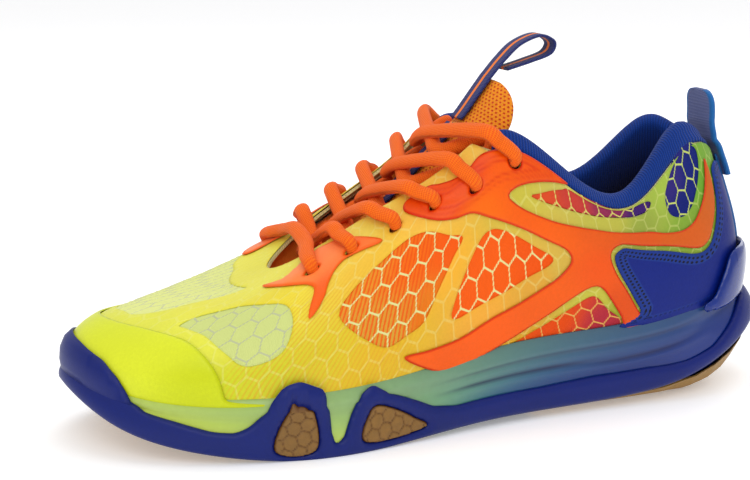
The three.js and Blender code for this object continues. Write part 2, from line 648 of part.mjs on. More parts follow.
const cradleOutline = [
  [1.78, 101], [1.6, 107], [1.43, 118], [1.25, 127], [0.8, 128], [0, 126], [-0.8, 128], [-1.25, 127],
  [-1.43, 118], [-1.6, 107], [-1.78, 101], [-0.9, 80], [0, 78], [0.9, 80],
];
const heelStrapHalf = 0.42;
const heelStrapOutline = [
  [-heelStrapHalf, 27], [-heelStrapHalf, 88], [heelStrapHalf, 88], [heelStrapHalf, 27],
];
const puffOutline = [[8.1, 4], [8.3, 22], [8.9, 30], [10, 30], [11.1, 30], [11.7, 22], [11.9, 4]];

// The top line is bound with a roll round the collar, so the base stops short of it there.
const collarFrom = 14.8;
const collarTo = 5.2;
const boundHeight = 0.91;
function upperTop(station) {
  const bound = station >= collarFrom - 0.01 || station <= collarTo + 0.01;
  return bound ? boundHeight : 1;
}
const gridLevels = (low, high, steps) => [...spread(0, 1, steps).slice(0, -1), high];
const upperBody = () => band(
  upperSheet, around(stationCount * gridPerStation), () => 0, upperTop, gridRows, -meshThickness, 0, true, gridLevels);

// ---------------------------------------------------------------- padding inside the collar
const padEnd = 4.4;
const padFull = 3.2;
const thinFoam = 1.6;
const padTop = 0.885;
const padBottom = 0.52;
const counterEnd = 3.2;
const counterTop = 0.46;
const asHeel = (station) => (station > stationCount / 2 ? station - stationCount : station);
function foamDepth(station) {
  const taper = 1 - smooth(Math.abs(asHeel(station)), padFull, padEnd);
  return thinFoam + (foamThickness - thinFoam) * taper;
}
function foamFace(station) {
  return backingOut - foamDepth(station);
}
function liningFace(station, height) {
  const up = smooth(height, 0.34, 0.46);
  return liningOverCounter + (foamFace(station) - clearance - liningOverCounter) * up;
}
const halfRing = (end) => spread(-end, end, Math.round(end * 2 * gridPerStation));

// ---------------------------------------------------------------- tongue, webbing and lace
// Middle of the tongue's top face, from under the vamp to its free end.
const tongueLine = new THREE.CatmullRomCurve3([
  [-82, 2, 42], [-62, 2.5, 53], [-40, 3, 67.5], [-20, 4, 82], [-3, 4.5, 97], [9, 4.5, 108.5],
  [18, 4.5, 118], [25, 5, 126.5], [30.5, 5, 133.5],
].map(([x, y, z]) => vec(x * gradeX, y * gradeY, z * gradeZ)), false, 'centripetal');
const tongueFold = 0.85;        // share of the line where the free flap begins
const tongueWidths = [[0, 34], [0.3, 42], [0.62, 48], [0.85, 50], [0.96, 46], [1, 32]];

function shareOn(table, t) {
  const next = table.findIndex(([at]) => at >= t);
  if (next <= 0) return table[0][1];
  const [a, b] = [table[next - 1], table[next]];
  return a[1] + (b[1] - a[1]) * (t - a[0]) / (b[0] - a[0]);
}

// A point on the arched tongue: t along it, across in millimetres, depth below its top face.
function tonguePoint(t, across, depth) {
  const middle = tongueLine.getPointAt(t);
  const forward = tongueLine.getTangentAt(t);
  const down = vec(forward.z, 0, -forward.x).normalize();
  const turn = across / tongueArch;
  const radius = tongueArch - depth;
  const p = middle.clone();
  p.addScaledVector(down, tongueArch - radius * Math.cos(turn));
  p.y += radius * Math.sin(turn);
  return p;
}

function tongueBody(from, to, steps, width, top, bottom) {
  const columns = 8;
  const rows = spread(from, to, steps).map((t) => {
    const half = width(t) / 2;
    const places = spread(-half, half, columns);
    const out = places.map((x) => tonguePoint(t, x, top));
    const back = places.map((x) => tonguePoint(t, x, bottom)).reverse();
    return [...out, ...back];
  });
  const { points, triangles } = skin(rows, false, true, rows[0].length / 2);
  const across = rows[0].length;
  const last = (rows.length - 1) * across;
  for (let j = 0; j < columns; j += 1) {
    const opposite = across - 1 - j;
    triangles.push(j, opposite, j + 1, opposite, opposite - 1, j + 1);
    triangles.push(last + j, last + j + 1, last + opposite, last + opposite, last + j + 1, last + opposite - 1);
  }
  return facingOut(geometryFrom(points, triangles));
}

// A round rod through points, with the same number of rings between each pair of them.
function rod(points, radius, sides, ringsPerSpan) {
  const path = new THREE.CatmullRomCurve3(points, false, 'catmullrom', 0.5);
  const places = spread(0, 1, (points.length - 1) * ringsPerSpan);
  const middles = places.map((t) => path.getPoint(t));
  const tangents = places.map((t) => path.getTangent(t));
  let side = vec(0, 0, 1).cross(tangents[0]).normalize();
  const rows = middles.map((middle, i) => {
    side = side.clone().addScaledVector(tangents[i], -side.dot(tangents[i])).normalize();
    const up = tangents[i].clone().cross(side);
    return spread(0, Math.PI * 2, sides).slice(0, -1).map((turn) => middle.clone()
      .addScaledVector(side, radius * Math.cos(turn))
      .addScaledVector(up, radius * Math.sin(turn)));
  });
  const { points: corners, triangles } = skin(rows, false, true);
  const last = (rows.length - 1) * sides;
  for (let k = 1; k < sides - 1; k += 1) {
    triangles.push(0, k + 1, k);
    triangles.push(last, last + k, last + k + 1);
  }
  return facingOut(geometryFrom(corners, triangles));
}

// A flat strap along points in a vertical plane, its width across the shoe.
function strap(points, width, thickness, steps) {
  const path = new THREE.CatmullRomCurve3(points, false, 'centripetal');
  const rows = spread(0, 1, steps).map((t) => {
    const p = path.getPoint(t);
    const along = path.getTangent(t);
    const out = vec(along.z, 0, -along.x).normalize().multiplyScalar(thickness / 2);
    const side = vec(0, width / 2, 0);
    return [
      p.clone().add(out).add(side), p.clone().add(out).sub(side),
      p.clone().sub(out).sub(side), p.clone().sub(out).add(side),
    ];
  });
  const { points: corners, triangles } = skin(rows, false, true);
  const last = (rows.length - 1) * 4;
  triangles.push(0, 2, 1, 0, 3, 2, last, last + 1, last + 2, last, last + 2, last + 3);
  return facingOut(geometryFrom(corners, triangles));
}

// Share of the tongue's line at a place along the shoe.
function tongueShareAt(x) {
  let [low, high] = [0, 1];
  for (let pass = 0; pass < 40; pass += 1) {
    const middle = (low + high) / 2;
    if (tongueLine.getPointAt(middle).x < x) low = middle;
    else high = middle;
  }
  return low;
}

// The lace enters each eyelet from outside, runs back under the eyestay to its edge and crosses
// over the tongue to the next eyelet of the other side. One run of each crossing rides higher.
const laceOutside = overlayOut + laceRadius + clearance * 3;
const laceInside = backingIn - laceRadius - clearance * 2;
const laceLow = webbingThickness + clearance * 3 + laceRadius;
const laceHigh = laceLow + laceRadius * 2 + 1;
const crossingX = [-43, -30, -17, -5, 8];
const runAside = 0.25;         // stations that a run leans forward outside the eyestay and back inside
const runUp = 0.05;            // share of the rib over which the lace bends into an eyelet
const bendRise = 1.6;
const bendLag = 0.0045;
const sideOfCrossing = 10;
const sideLift = 1.6;
const forwardOf = (s) => Math.sign(stationCount / 2 - s) * runAside;
function throughEyelet([s, h]) {
  const height = h / 100;
  return [
    upperAt(s + forwardOf(s), 1, laceOutside + bendRise * 1.4),
    upperAt(s + forwardOf(s) / 2, height + (1 - height) / 2, laceOutside + bendRise),
    upperAt(s, height + runUp, laceOutside + bendRise),
    upperAt(s, height + bendLag, laceOutside + bendRise / 2),
    upperAt(s, height + bendLag, (overlayOut + backingIn) / 2),
    upperAt(s, height + bendLag, laceInside - bendRise / 2),
    upperAt(s, height + runUp, laceInside - bendRise),
  ];
}
const underEdge = ([s]) => upperAt(s - forwardOf(s), 0.985, laceInside - bendRise);
const crossing = (x, lift, across) => tonguePoint(tongueShareAt(x * gradeX), across, -lift);
function laceHalf(first, second, lifts) {
  const points = [...throughEyelet(first[0])];
  for (let row = 1; row < first.length; row += 1) {
    const [from, to] = row % 2 ? [first, second] : [second, first];
    const side = Math.sign(from[row - 1][0] - stationCount / 2) * sideOfCrossing;
    const [x, lift] = [crossingX[row - 1], lifts[row - 1]];
    points.push(underEdge(from[row - 1]));
    points.push(crossing(x - 2, lift + sideLift, side));
    points.push(crossing(x, lift, 0));
    points.push(...throughEyelet(to[row]));
  }
  return points.slice(0, -1);
}
const rowCount = lateralEyelets.length;
const liftsA = Array.from({ length: rowCount - 1 }, (_, k) => (k % 2 ? laceHigh : laceLow));
const liftsB = liftsA.map((lift) => (lift === laceHigh ? laceLow : laceHigh));
function lacePoints() {
  const fromLateral = laceHalf(lateralEyelets, medialEyelets, liftsA);
  const fromMedial = laceHalf(medialEyelets, lateralEyelets, liftsB);
  const middle = fromLateral[0].clone().add(fromMedial[0]).multiplyScalar(0.5).add(vec(0, 0, 3));
  return [...fromLateral.reverse(), middle, ...fromMedial];
}

// The lace's free ends hang down inside the upper and lie on the sockliner.
const lateralTail = [
  [25.7, -25.9, 102.4], [25.5, -24.4, 101.4], [24.6, -24.2, 97], [22.5, -25.5, 80], [19, -26.5, 64], [16, -26, 50], [12, -25, 37],
  [5, -24, 28.6], [-6, -23.5, 25.4], [-20, -23.5, 23.4], [-35, -24, 21.5], [-50, -24.5, 20.5],
  [-65, -24, 20.5], [-78, -21.5, 20.5], [-88, -17, 20.8],
];
const medialTail = [
  [25.4, 31.2, 102.9], [25.2, 29.7, 101.9], [24.4, 29.6, 97], [22, 30.3, 80], [18.5, 30, 64], [15, 29, 50], [11, 27.5, 37],
  [4, 26, 28.6], [-7, 26, 25.4], [-21, 27.5, 23.4], [-36, 29, 21.5], [-51, 29.5, 20.5], [-66, 29, 20.5],
  [-78, 27, 20.5], [-87, 23, 20.8],
];
const placed = (rows) => rows.map(([x, y, z]) => vec(x * gradeX, y * gradeY, z * gradeZ));
const agletLength = 15;
const agletRadius = 1.7;
function aglet(tail) {
  const [before, end] = placed(tail).slice(-2);
  const along = end.clone().sub(before).setZ(0).normalize();
  const start = end.clone().addScaledVector(along, clearance);
  return rod([start, start.clone().addScaledVector(along, agletLength)], agletRadius, 8, 1);
}

function topLine(station) {
  const p = upperAt(station, 1, -bindingRadius);
  p.z -= bindingRadius;
  return p;
}
const bindingEnd = 5;
function bindingBody() {
  const points = spread(-bindingEnd, bindingEnd, 44).map((s) => topLine(s));
  return rod(points, bindingRadius, 6, 1);
}

const webbingFrom = tongueShareAt(-12 * gradeX);
const foldGap = 0.003;         // share of the tongue's line left open at the fold
const seamGap = 0.015;         // and between the webbing of the tongue and of its flap
const flapWidth = (t) => shareOn(tongueWidths, t);
function webbingBody(from, to, steps) {
  const depth = -clearance - webbingThickness / 2;
  return strap(spread(from, to, steps).map((t) => tonguePoint(t, 0, depth)), webbingWidth, webbingThickness, steps);
}
// The pull loop leaves the flap's edge, runs back over itself and ends beside its start.
const loopPoints = [
  [30.5, 5, 134.1], [36, 5.2, 140.6], [44, 7, 146.5], [53.5, 8, 149.4], [59, 7.4, 146.6], [57, 6.4, 142.2],
  [48, 5.4, 139.4], [37, 5, 136.6],
];
const loopBody = () => strap(placed(loopPoints), webbingWidth, webbingThickness, 26);
const tabThickness = 2.2;
const tabBulge = 0.8;
function tabBody() {
  const foot = upperAt(0, 1, 0);
  const low = foot.z + clearance;
  const line = spread(0, 1, 3).map((t) => vec(
    foot.x - clearance * 2 + Math.sin(t * Math.PI) * tabBulge, foot.y, low + t * (tabRise - clearance)));
  return strap(line, tabWidth, tabThickness, 6);
}

const add = (title, geometry, colour, roughness, metalness = 0) => {
  const material = new THREE.MeshStandardMaterial({ color: colour, roughness, metalness });
  const mesh = new THREE.Mesh(geometry, material);
  mesh.name = title;
  shoe.add(mesh);
};
const shoe = new THREE.Group();

// The sole, from the ground up.
const gum = 0x96733a;
add('outsole_forefoot', keep(outsoleBody(), slice(-wide * 2, forefootEnd)), gum, 0.6);
add('outsole_heel', keep(outsoleBody(), slice(heelTreadStart, wide * 2)), gum, 0.6);
add('shank_plate', shankPlate(), 0x202024, 0.35);
add('midsole', midsoleBody(), 0xc0d860, 0.4);
add('sole_wrap', soleWrap(), 0x00307a, 0.45);
const podNames = ['tread_pod_lateral_front', 'tread_pod_lateral_rear', 'tread_pod_medial'];
openings.forEach((outline, i) => {
  add(podNames[i], panel(flankSheet, inset(outline, podGap), [], wrapIn, wrapOut - 0.6), gum, 0.6);
});
const cradleIn = heelStrapOut + clearance;
add('heel_cradle', panel(flankSheet, cradleOutline, [], cradleIn, cradleIn + cradleThickness), 0x1c4b9c, 0.3);
add('strobel_board', bedLayer(cupWall + 4.2, clearance, clearance + boardThickness), 0xe8e6de, 0.9);
const sockBottom = clearance * 2 + boardThickness;
add('sockliner', bedLayer(cupWall + 4.4, sockBottom, sockBottom + sockThickness), 0x0a4b96, 0.9);

// The upper, from the knitted base outwards.
const punches = eyeletHoles.map((hole) => panel(upperSheet, hole, [], -meshThickness - 2, 2));
add('upper_shell', cut(upperBody(), punches), 0xf0f0c8, 0.9);
add('skin_film', panel(upperSheet, filmOutline, [...windows, ...eyeletHoles], filmIn, filmOut), 0xe8d83c, 0.5);
add('toe_cap', panel(upperSheet, toeCapOutline, [], overlayIn, capOut), 0xd4de28, 0.5);
add('lateral_wing', panel(upperSheet, wingOutline, eyeletHoles.slice(3, 6), overlayIn, overlayOut), 0xf05f14, 0.5);
add('lateral_lace_strap', panel(upperSheet, laceStrapOutline, eyeletHoles.slice(0, 2), overlayIn, overlayOut), 0xff8c50, 0.5);
add('medial_lace_strap', panel(upperSheet, medialStrapOutline, eyeletHoles.slice(6, 9), overlayIn, overlayOut), 0xff8c50, 0.5);
add('medial_collar_panel', panel(upperSheet, medialPanelOutline, eyeletHoles.slice(9), overlayIn, overlayOut), 0xe6d448, 0.5);
add('heel_foxing', panel(upperSheet, foxingOutline, [], overlayIn, capOut), 0x0b3482, 0.5);
add('heel_strap', panel(upperSheet, heelStrapOutline, [], heelStrapIn, heelStrapOut), 0x1c3f80, 0.8);

// Inside the upper.
add('toe_puff', panel(upperSheet, puffOutline, [], backingIn, backingOut), 0xd8d4c8, 0.9);
add('eyestay_backing_lateral', panel(upperSheet, backingOutline, eyeletHoles.slice(0, 6), backingIn, backingOut), 0xc8c4b0, 0.8);
add('eyestay_backing_medial', panel(upperSheet, mirrored(backingOutline), eyeletHoles.slice(6), backingIn, backingOut), 0xc8c4b0, 0.8);
add('heel_counter', band(upperSheet, halfRing(counterEnd), () => 0.05, () => counterTop, 4, counterIn, backingOut, false), 0x50504c, 0.6);
add('collar_foam', band(upperSheet, halfRing(padEnd), () => padBottom, () => padTop, 4, foamFace, backingOut, false), 0xe0dcc8, 0.95);
const liningAt = (s, h) => liningFace(s, h) - liningThickness;
add('collar_lining', band(upperSheet, halfRing(padEnd), () => 0.05, () => padTop, 8, liningAt, liningFace, false), 0x0a4b96, 0.95);
add('collar_binding', bindingBody(), 0x0a4b96, 0.9);

// Tongue, lace and pulls.
add('tongue', tongueBody(0, tongueFold - foldGap, 12, flapWidth, 0, tongueThickness), 0xff9a30, 0.9);
add('tongue_flap', tongueBody(tongueFold, 1, 4, flapWidth, 0, tongueThickness), 0xff9a30, 0.9);
add('tongue_webbing', webbingBody(webbingFrom, tongueFold - seamGap, 12), 0x323c78, 0.85);
add('flap_webbing', webbingBody(tongueFold + foldGap, 0.985, 3), 0x323c78, 0.85);
add('tongue_loop', loopBody(), 0x323c78, 0.85);
add('heel_tab', tabBody(), 0x505a8e, 0.85);
add('lace', rod(lacePoints(), laceRadius, 6, 2), 0xff7d19, 0.8);
add('lace_tail_lateral', rod(placed(lateralTail), laceRadius, 8, 2), 0xff7d19, 0.8);
add('lace_tail_medial', rod(placed(medialTail), laceRadius, 8, 2), 0xff7d19, 0.8);
add('aglet_lateral', aglet(lateralTail), 0xff7d19, 0.3);
add('aglet_medial', aglet(medialTail), 0xff7d19, 0.3);
export default shoe;
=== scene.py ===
import math

import bpy
import numpy as np
from mathutils import Matrix, Vector


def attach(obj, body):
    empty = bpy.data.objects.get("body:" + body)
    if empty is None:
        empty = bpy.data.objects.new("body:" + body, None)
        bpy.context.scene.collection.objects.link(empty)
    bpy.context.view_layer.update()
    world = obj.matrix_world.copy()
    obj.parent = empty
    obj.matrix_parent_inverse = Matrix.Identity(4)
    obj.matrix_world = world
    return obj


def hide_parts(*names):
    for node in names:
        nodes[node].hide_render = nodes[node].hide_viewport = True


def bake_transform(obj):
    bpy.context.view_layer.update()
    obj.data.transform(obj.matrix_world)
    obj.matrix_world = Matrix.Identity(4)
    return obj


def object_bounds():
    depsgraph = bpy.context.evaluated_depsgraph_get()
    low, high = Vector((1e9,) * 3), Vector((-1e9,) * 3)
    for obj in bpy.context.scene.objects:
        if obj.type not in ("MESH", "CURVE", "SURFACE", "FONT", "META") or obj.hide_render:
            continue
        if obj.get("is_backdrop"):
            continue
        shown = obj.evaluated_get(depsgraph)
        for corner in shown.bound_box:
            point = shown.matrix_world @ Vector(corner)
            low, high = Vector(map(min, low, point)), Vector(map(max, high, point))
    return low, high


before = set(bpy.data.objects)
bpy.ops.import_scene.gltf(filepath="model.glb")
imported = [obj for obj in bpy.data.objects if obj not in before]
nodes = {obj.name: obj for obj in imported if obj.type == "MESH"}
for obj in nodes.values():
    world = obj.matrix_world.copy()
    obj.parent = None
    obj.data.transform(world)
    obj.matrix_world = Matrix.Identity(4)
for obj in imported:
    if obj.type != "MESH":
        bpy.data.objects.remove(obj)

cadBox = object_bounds()
scene = bpy.context.scene
print("frame loaded")

# Court shoe, left foot, metres. Toe towards -X, lateral side towards -Y. Surfaces are worked out
# in millimetres and scaled once, when a mesh is filled.
mm = 0.001

# Camera
cameraSet = {"azimuth": -19.5, "elevation": 11.65, "roll": -0.75, "distance": 0.868, "lens": 87.9,
             "target": (0.0211, 0.1191, 0.0445)}


def makeCamera(cfg):
    a, e = math.radians(cfg["azimuth"]), math.radians(cfg["elevation"])
    back = Vector((math.sin(a) * math.cos(e), -math.cos(a) * math.cos(e), math.sin(e)))
    data = bpy.data.cameras.new("camera")
    data.lens, data.sensor_width = cfg["lens"], 36
    cam = bpy.data.objects.new("camera", data)
    scene.collection.objects.link(cam)
    right = Vector((math.cos(a), math.sin(a), 0))
    up = back.cross(right)
    turn = Matrix((right, up, back)).transposed().to_4x4()
    roll = Matrix.Rotation(math.radians(cfg["roll"]), 4, "Z")
    cam.matrix_world = Matrix.Translation(Vector(cfg["target"]) + back * cfg["distance"]) @ turn @ roll
    scene.camera = cam


makeCamera(cameraSet)

# The last: girth stations 0 to 20 from the heel's back round the lateral side and the toe
# feather line x y z, top line x y z, lean and pull at the start, direction x y z and pull at the end
lastRows = np.array([
    [137, 0, 46, 127, 1, 103, .20, 20, .22, 0, -.97, 26],
    [128, -21, 41, 120, -11, 110, .20, 24, .20, -.22, -.95, 28],
    [105, -30, 35, 104, -19, 109, .20, 25, .05, -.25, -.96, 32],
    [76, -32, 31, 80, -28, 88, .22, 22, 0, -.20, -.98, 20],
    [42, -33, 29, 52, -31, 98, .22, 24, 0, -.22, -.97, 26],
    [8, -37, 26, 25, -27, 117, .25, 28, -.12, -.35, -.93, 32],
    [-28, -45, 22, 2, -22, 103, .25, 28, -.25, -.60, -.75, 30],
    [-64, -49, 20, -24, -17, 87, .25, 28, -.35, -.72, -.60, 30],
    [-100, -42, 20, -46, -13, 74, .25, 28, -.55, -.68, -.48, 32],
    [-129, -22, 23, -60, -6, 65, .25, 28, -.78, -.38, -.45, 34],
    [-143, 9, 27, -65, 3, 62, .25, 28, -.90, .02, -.42, 34],
    [-130, 35, 24, -60, 12, 65, .25, 28, -.78, .42, -.45, 34],
    [-102, 47, 21, -46, 19, 74, .25, 28, -.55, .70, -.48, 32],
    [-66, 49, 21, -24, 23, 87, .25, 28, -.35, .74, -.60, 30],
    [-29, 42, 24, 2, 28, 103, .25, 28, -.25, .60, -.75, 30],
    [7, 35, 28, 25, 33, 117, .25, 28, -.12, .35, -.93, 32],
    [42, 31, 31, 52, 34, 98, .22, 24, 0, .22, -.97, 26],
    [76, 31, 33, 80, 30, 88, .22, 22, 0, .20, -.98, 20],
    [105, 30, 36, 104, 22, 109, .20, 25, .05, .25, -.96, 32],
    [128, 20, 42, 120, 13, 110, .20, 24, .20, .22, -.95, 28]], float)
# the sole's plan and the height of its wall's lower edge, at the same stations
soleRows = np.array([
    [148, 0, 30], [137, -24, 26], [110, -34, 13], [78, -35.5, 6.4], [42, -37, 5], [7, -41.5, 4.2],
    [-30, -49.5, 2], [-66, -52.5, 1], [-103, -45, 5], [-134, -25, 14], [-148, 9, 24.5],
    [-135, 38, 14], [-105, 51, 5], [-67, 52.5, 1], [-29, 46, 2], [7, 39, 4.2], [42, 35, 5],
    [78, 34.5, 6.4], [110, 33.5, 13], [137, 23, 26]], float)
wallIn = 4.0


def closedSpline(rows):  # cubic B-spline through every row, its controls found by relaxation
    p = np.asarray(rows, float)
    c = p.copy()
    for _ in range(60):
        c = (6 * p - np.roll(c, 1, 0) - np.roll(c, -1, 0)) / 4
    n = len(p)

    def at(s):
        t = np.mod(np.asarray(s, float), n)
        i = np.floor(t).astype(int)
        w = (t - i)[..., None]
        return ((1 - w) ** 3 / 6 * c[(i - 1) % n] + (3 * w ** 3 - 6 * w ** 2 + 4) / 6 * c[i % n]
                + (-3 * w ** 3 + 3 * w ** 2 + 3 * w + 1) / 6 * c[(i + 1) % n] + w ** 3 / 6 * c[(i + 2) % n])
    return at


lastAt = closedSpline(lastRows)
soleAt = closedSpline(soleRows)


def unit(v):
    return v / np.maximum(np.linalg.norm(v, axis=-1, keepdims=True), 1e-9)


def planNormal(curve, s):  # outward, of a closed curve that runs clockwise seen from above
    t = curve(s + .002)[..., :2] - curve(s - .002)[..., :2]
    return unit(np.stack([-t[..., 1], t[..., 0], np.zeros_like(t[..., 0])], -1))


def upperRaw(s, h):  # Bezier rib from the feather line, height 0, to the top line, height 1
    r = lastAt(s)
    rise = unit(planNormal(lastAt, s) * r[..., 6:7] + np.array([0, 0, 1.]))
    second = r[..., 0:3] + rise * r[..., 7:8]
    third = r[..., 3:6] + unit(r[..., 8:11]) * r[..., 11:12]
    h = h[..., None]
    return ((1 - h) ** 3 * r[..., 0:3] + 3 * h * (1 - h) ** 2 * second
            + 3 * h * h * (1 - h) * third + h ** 3 * r[..., 3:6])


def flankRaw(s, v):  # level 0 to 1 up the sole's wall, 1 to 2 up the upper
    r, sole = lastAt(s), soleAt(s)
    out = planNormal(soleAt, s)
    foot = sole - out * wallIn
    rise = unit(planNormal(lastAt, s) * r[..., 6:7] + np.array([0, 0, 1.]))
    lift = unit(out * .35 + np.array([0, 0, 1.]))
    pull = np.linalg.norm(r[..., 0:3] - foot, axis=-1, keepdims=True) / 3
    w = np.clip(v, -.2, 1)[..., None]
    low = ((1 - w) ** 3 * foot + 3 * w * (1 - w) ** 2 * (foot + lift * pull)
           + 3 * w * w * (1 - w) * (r[..., 0:3] - rise * pull) + w ** 3 * r[..., 0:3])
    return np.where((v > 1)[..., None], upperRaw(s, np.clip(v - 1, 0, 1)), low)


def offsetFace(raw, low, high):  # the face moved along its outward normal
    def at(s, h, off=0.):
        s, h, off = np.broadcast_arrays(*(np.asarray(x, float) for x in (s, h, off)))
        hc = np.clip(h, low, high)
        e = .003
        up = raw(s, np.minimum(hc + e, high)) - raw(s, np.maximum(hc - e, low))
        along = raw(s + e * 3, hc) - raw(s - e * 3, hc)
        return raw(s, hc) + unit(np.cross(up, along)) * off[..., None]
    return at


onUpper = offsetFace(upperRaw, 0, 1)
onFlank = offsetFace(flankRaw, -.2, 2)


# Filling meshes
# Points in mm, faces a list of arrays, each of triangles or of quads.
def fillMesh(name, points, faces, material, uv, floats=None, colours=None):
    mesh = bpy.data.meshes.new(name)
    groups = [np.asarray(g, np.int32) for g in faces if len(g)]
    loops = np.concatenate([g.ravel() for g in groups])
    sizes = np.concatenate([np.full(len(g), g.shape[1], np.int32) for g in groups])
    mesh.vertices.add(len(points))
    mesh.vertices.foreach_set("co", (np.asarray(points) * mm).astype(np.float32).ravel())
    mesh.loops.add(len(loops))
    mesh.loops.foreach_set("vertex_index", loops)
    mesh.polygons.add(len(sizes))
    mesh.polygons.foreach_set("loop_start", np.concatenate([[0], np.cumsum(sizes)[:-1]]).astype(np.int32))
    mesh.polygons.foreach_set("use_smooth", np.ones(len(sizes), bool))
    mesh.update(calc_edges=True)
    mesh.uv_layers.new(name="flat").data.foreach_set("uv", np.asarray(uv, np.float32)[loops].ravel())
    for key, values in (floats or {}).items():
        mesh.attributes.new(key, "FLOAT", "POINT").data.foreach_set("value", np.asarray(values, np.float32))
    for key, values in (colours or {}).items():
        rgba = np.concatenate([values, np.ones((len(values), 1))], 1).astype(np.float32)
        mesh.attributes.new(key, "FLOAT_COLOR", "POINT").data.foreach_set("color", rgba.ravel())
    mesh.validate()
    mesh.materials.append(material)
    piece = bpy.data.objects.new(name, mesh)
    scene.collection.objects.link(piece)
    return piece


def gridFaces(rows, columns, closeColumns=False):  # quads of a grid whose points run row by row
    i = np.arange(rows - 1)[:, None]
    j = np.arange(columns if closeColumns else columns - 1)[None, :]
    a, b = i * columns + j, i * columns + (j + 1) % columns
    return np.stack([a, b, b + columns, a + columns], -1).reshape(-1, 4)


def faceOut(points, faces):  # turns a closed body's faces over if its volume comes out negative
    volume = 0
    for g in faces:
        p = points[g]
        for k in range(1, g.shape[1] - 1):
            volume += np.einsum("ij,ij->i", p[:, 0], np.cross(p[:, k], p[:, k + 1])).sum()
    return [g[:, ::-1] for g in faces] if volume < 0 else faces


# Panels: an outline in pattern millimetres, cut from a fine grid and laid over a face
def roundedOutline(points, perSpan=10):  # closed Catmull-Rom curve through the points
    p = np.asarray(points, float)
    before, after, later = np.roll(p, 1, 0), np.roll(p, -1, 0), np.roll(p, -2, 0)
    t = (np.arange(perSpan) / perSpan)[None, :, None]
    a, b, c, d = (x[:, None, :] for x in (before, p, after, later))
    return (.5 * (2 * b + (c - a) * t + (2 * a - 5 * b + 4 * c - d) * t ** 2
                  + (3 * b - a - 3 * c + d) * t ** 3)).reshape(-1, 2)


# Signed distance of points to a closed curve, negative inside, with the nearest point and how far
# round the curve it lies.
def measureTo(points, curve):
    a, b = curve, np.roll(curve, -1, 0)
    ab = b - a
    length = np.maximum((ab ** 2).sum(1), 1e-12)
    start = np.concatenate([[0], np.cumsum(np.sqrt(length))[:-1]])
    d, near, along = np.empty(len(points)), np.empty((len(points), 2)), np.empty(len(points))
    for lo in range(0, len(points), 6000):
        p = points[lo:lo + 6000]
        ap = p[:, None, :] - a[None]
        t = np.clip((ap * ab[None]).sum(2) / length, 0, 1)
        q = a[None] + ab[None] * t[..., None]
        dist = ((p[:, None, :] - q) ** 2).sum(2)
        k = dist.argmin(1)
        rows = np.arange(len(p))
        above = (a[None, :, 1] > p[:, 1:2]) != (b[None, :, 1] > p[:, 1:2])
        slope = np.where(ab[:, 1] == 0, 1e-12, ab[:, 1])
        crossing = a[None, :, 0] + (p[:, 1:2] - a[None, :, 1]) * ab[None, :, 0] / slope
        inside = (above & (p[:, 0:1] < crossing)).sum(1) % 2 == 1
        d[lo:lo + 6000] = np.sqrt(dist[rows, k]) * np.where(inside, -1, 1)
        near[lo:lo + 6000] = q[rows, k]
        along[lo:lo + 6000] = start[k] + t[rows, k] * np.sqrt(length[k])
    return d, near, along


patternUnit = np.array([32., 90.])  # pattern millimetres for one station and for a whole rib
wallUnit = np.array([32., 20.])     # and for one level of the sole's wall


def flat(outline, scale=patternUnit):
    return np.asarray(outline, float) * scale / np.array([1, 100])


def cutPattern(outline, holes, cell):
    lo, hi = outline.min(0) - cell, outline.max(0) + cell
    nx, ny = (np.ceil((hi - lo) / cell) + 1).astype(int)
    gx, gy = np.meshgrid(lo[0] + np.arange(nx) * cell, lo[1] + np.arange(ny) * cell, indexing="ij")
    p = np.stack([gx, gy], -1).reshape(-1, 2)
    d, near, along = measureTo(p, outline)
    for hole in holes:
        close = np.all((p > hole.min(0) - 6) & (p < hole.max(0) + 6), 1)
        dh, nh, ah = measureTo(p[close], hole)
        take = np.zeros(len(p), bool)
        take[close] = -dh > d[close]
        picked = take[close]
        d[take], near[take], along[take] = -dh[picked], nh[picked], ah[picked]
    snap = np.abs(d) < .5 * cell
    p[snap] = near[snap]
    d[snap] = 0
    inside = d <= 0
    i, j = np.meshgrid(np.arange(nx - 1), np.arange(ny - 1), indexing="ij")
    a = (i * ny + j).ravel()
    quad = np.stack([a, a + ny, a + ny + 1, a + 1], 1)
    held = inside[quad]
    whole = quad[held.all(1)]
    tris = [whole[:, [0, 1, 2]], whole[:, [0, 2, 3]]]
    for k in range(4):
        three = (~held[:, k]) & (held.sum(1) == 3)
        tris.append(quad[three][:, [(k + 1) % 4, (k + 2) % 4, (k + 3) % 4]])
    tris = np.concatenate(tris)
    ab, ac = p[tris[:, 1]] - p[tris[:, 0]], p[tris[:, 2]] - p[tris[:, 0]]
    middle = p[tris].mean(1)
    size = ab[:, 0] * ac[:, 1] - ab[:, 1] * ac[:, 0]
    flatOnes = d[tris].min(1) == 0
    keep = size > 1e-3 * cell * cell
    if flatOnes.any():  # a triangle whose corners all lie on the edge may lie outside it
        doubt = np.where(flatOnes)[0]
        dm, _, _ = measureTo(middle[doubt], outline)
        for hole in holes:
            dm = np.maximum(dm, -measureTo(middle[doubt], hole)[0])
        keep[doubt[dm > 0]] = False
    tris = tris[keep]
    used, index = np.unique(tris, return_inverse=True)
    return p[used], index.reshape(-1, 3), -d[used], along[used]


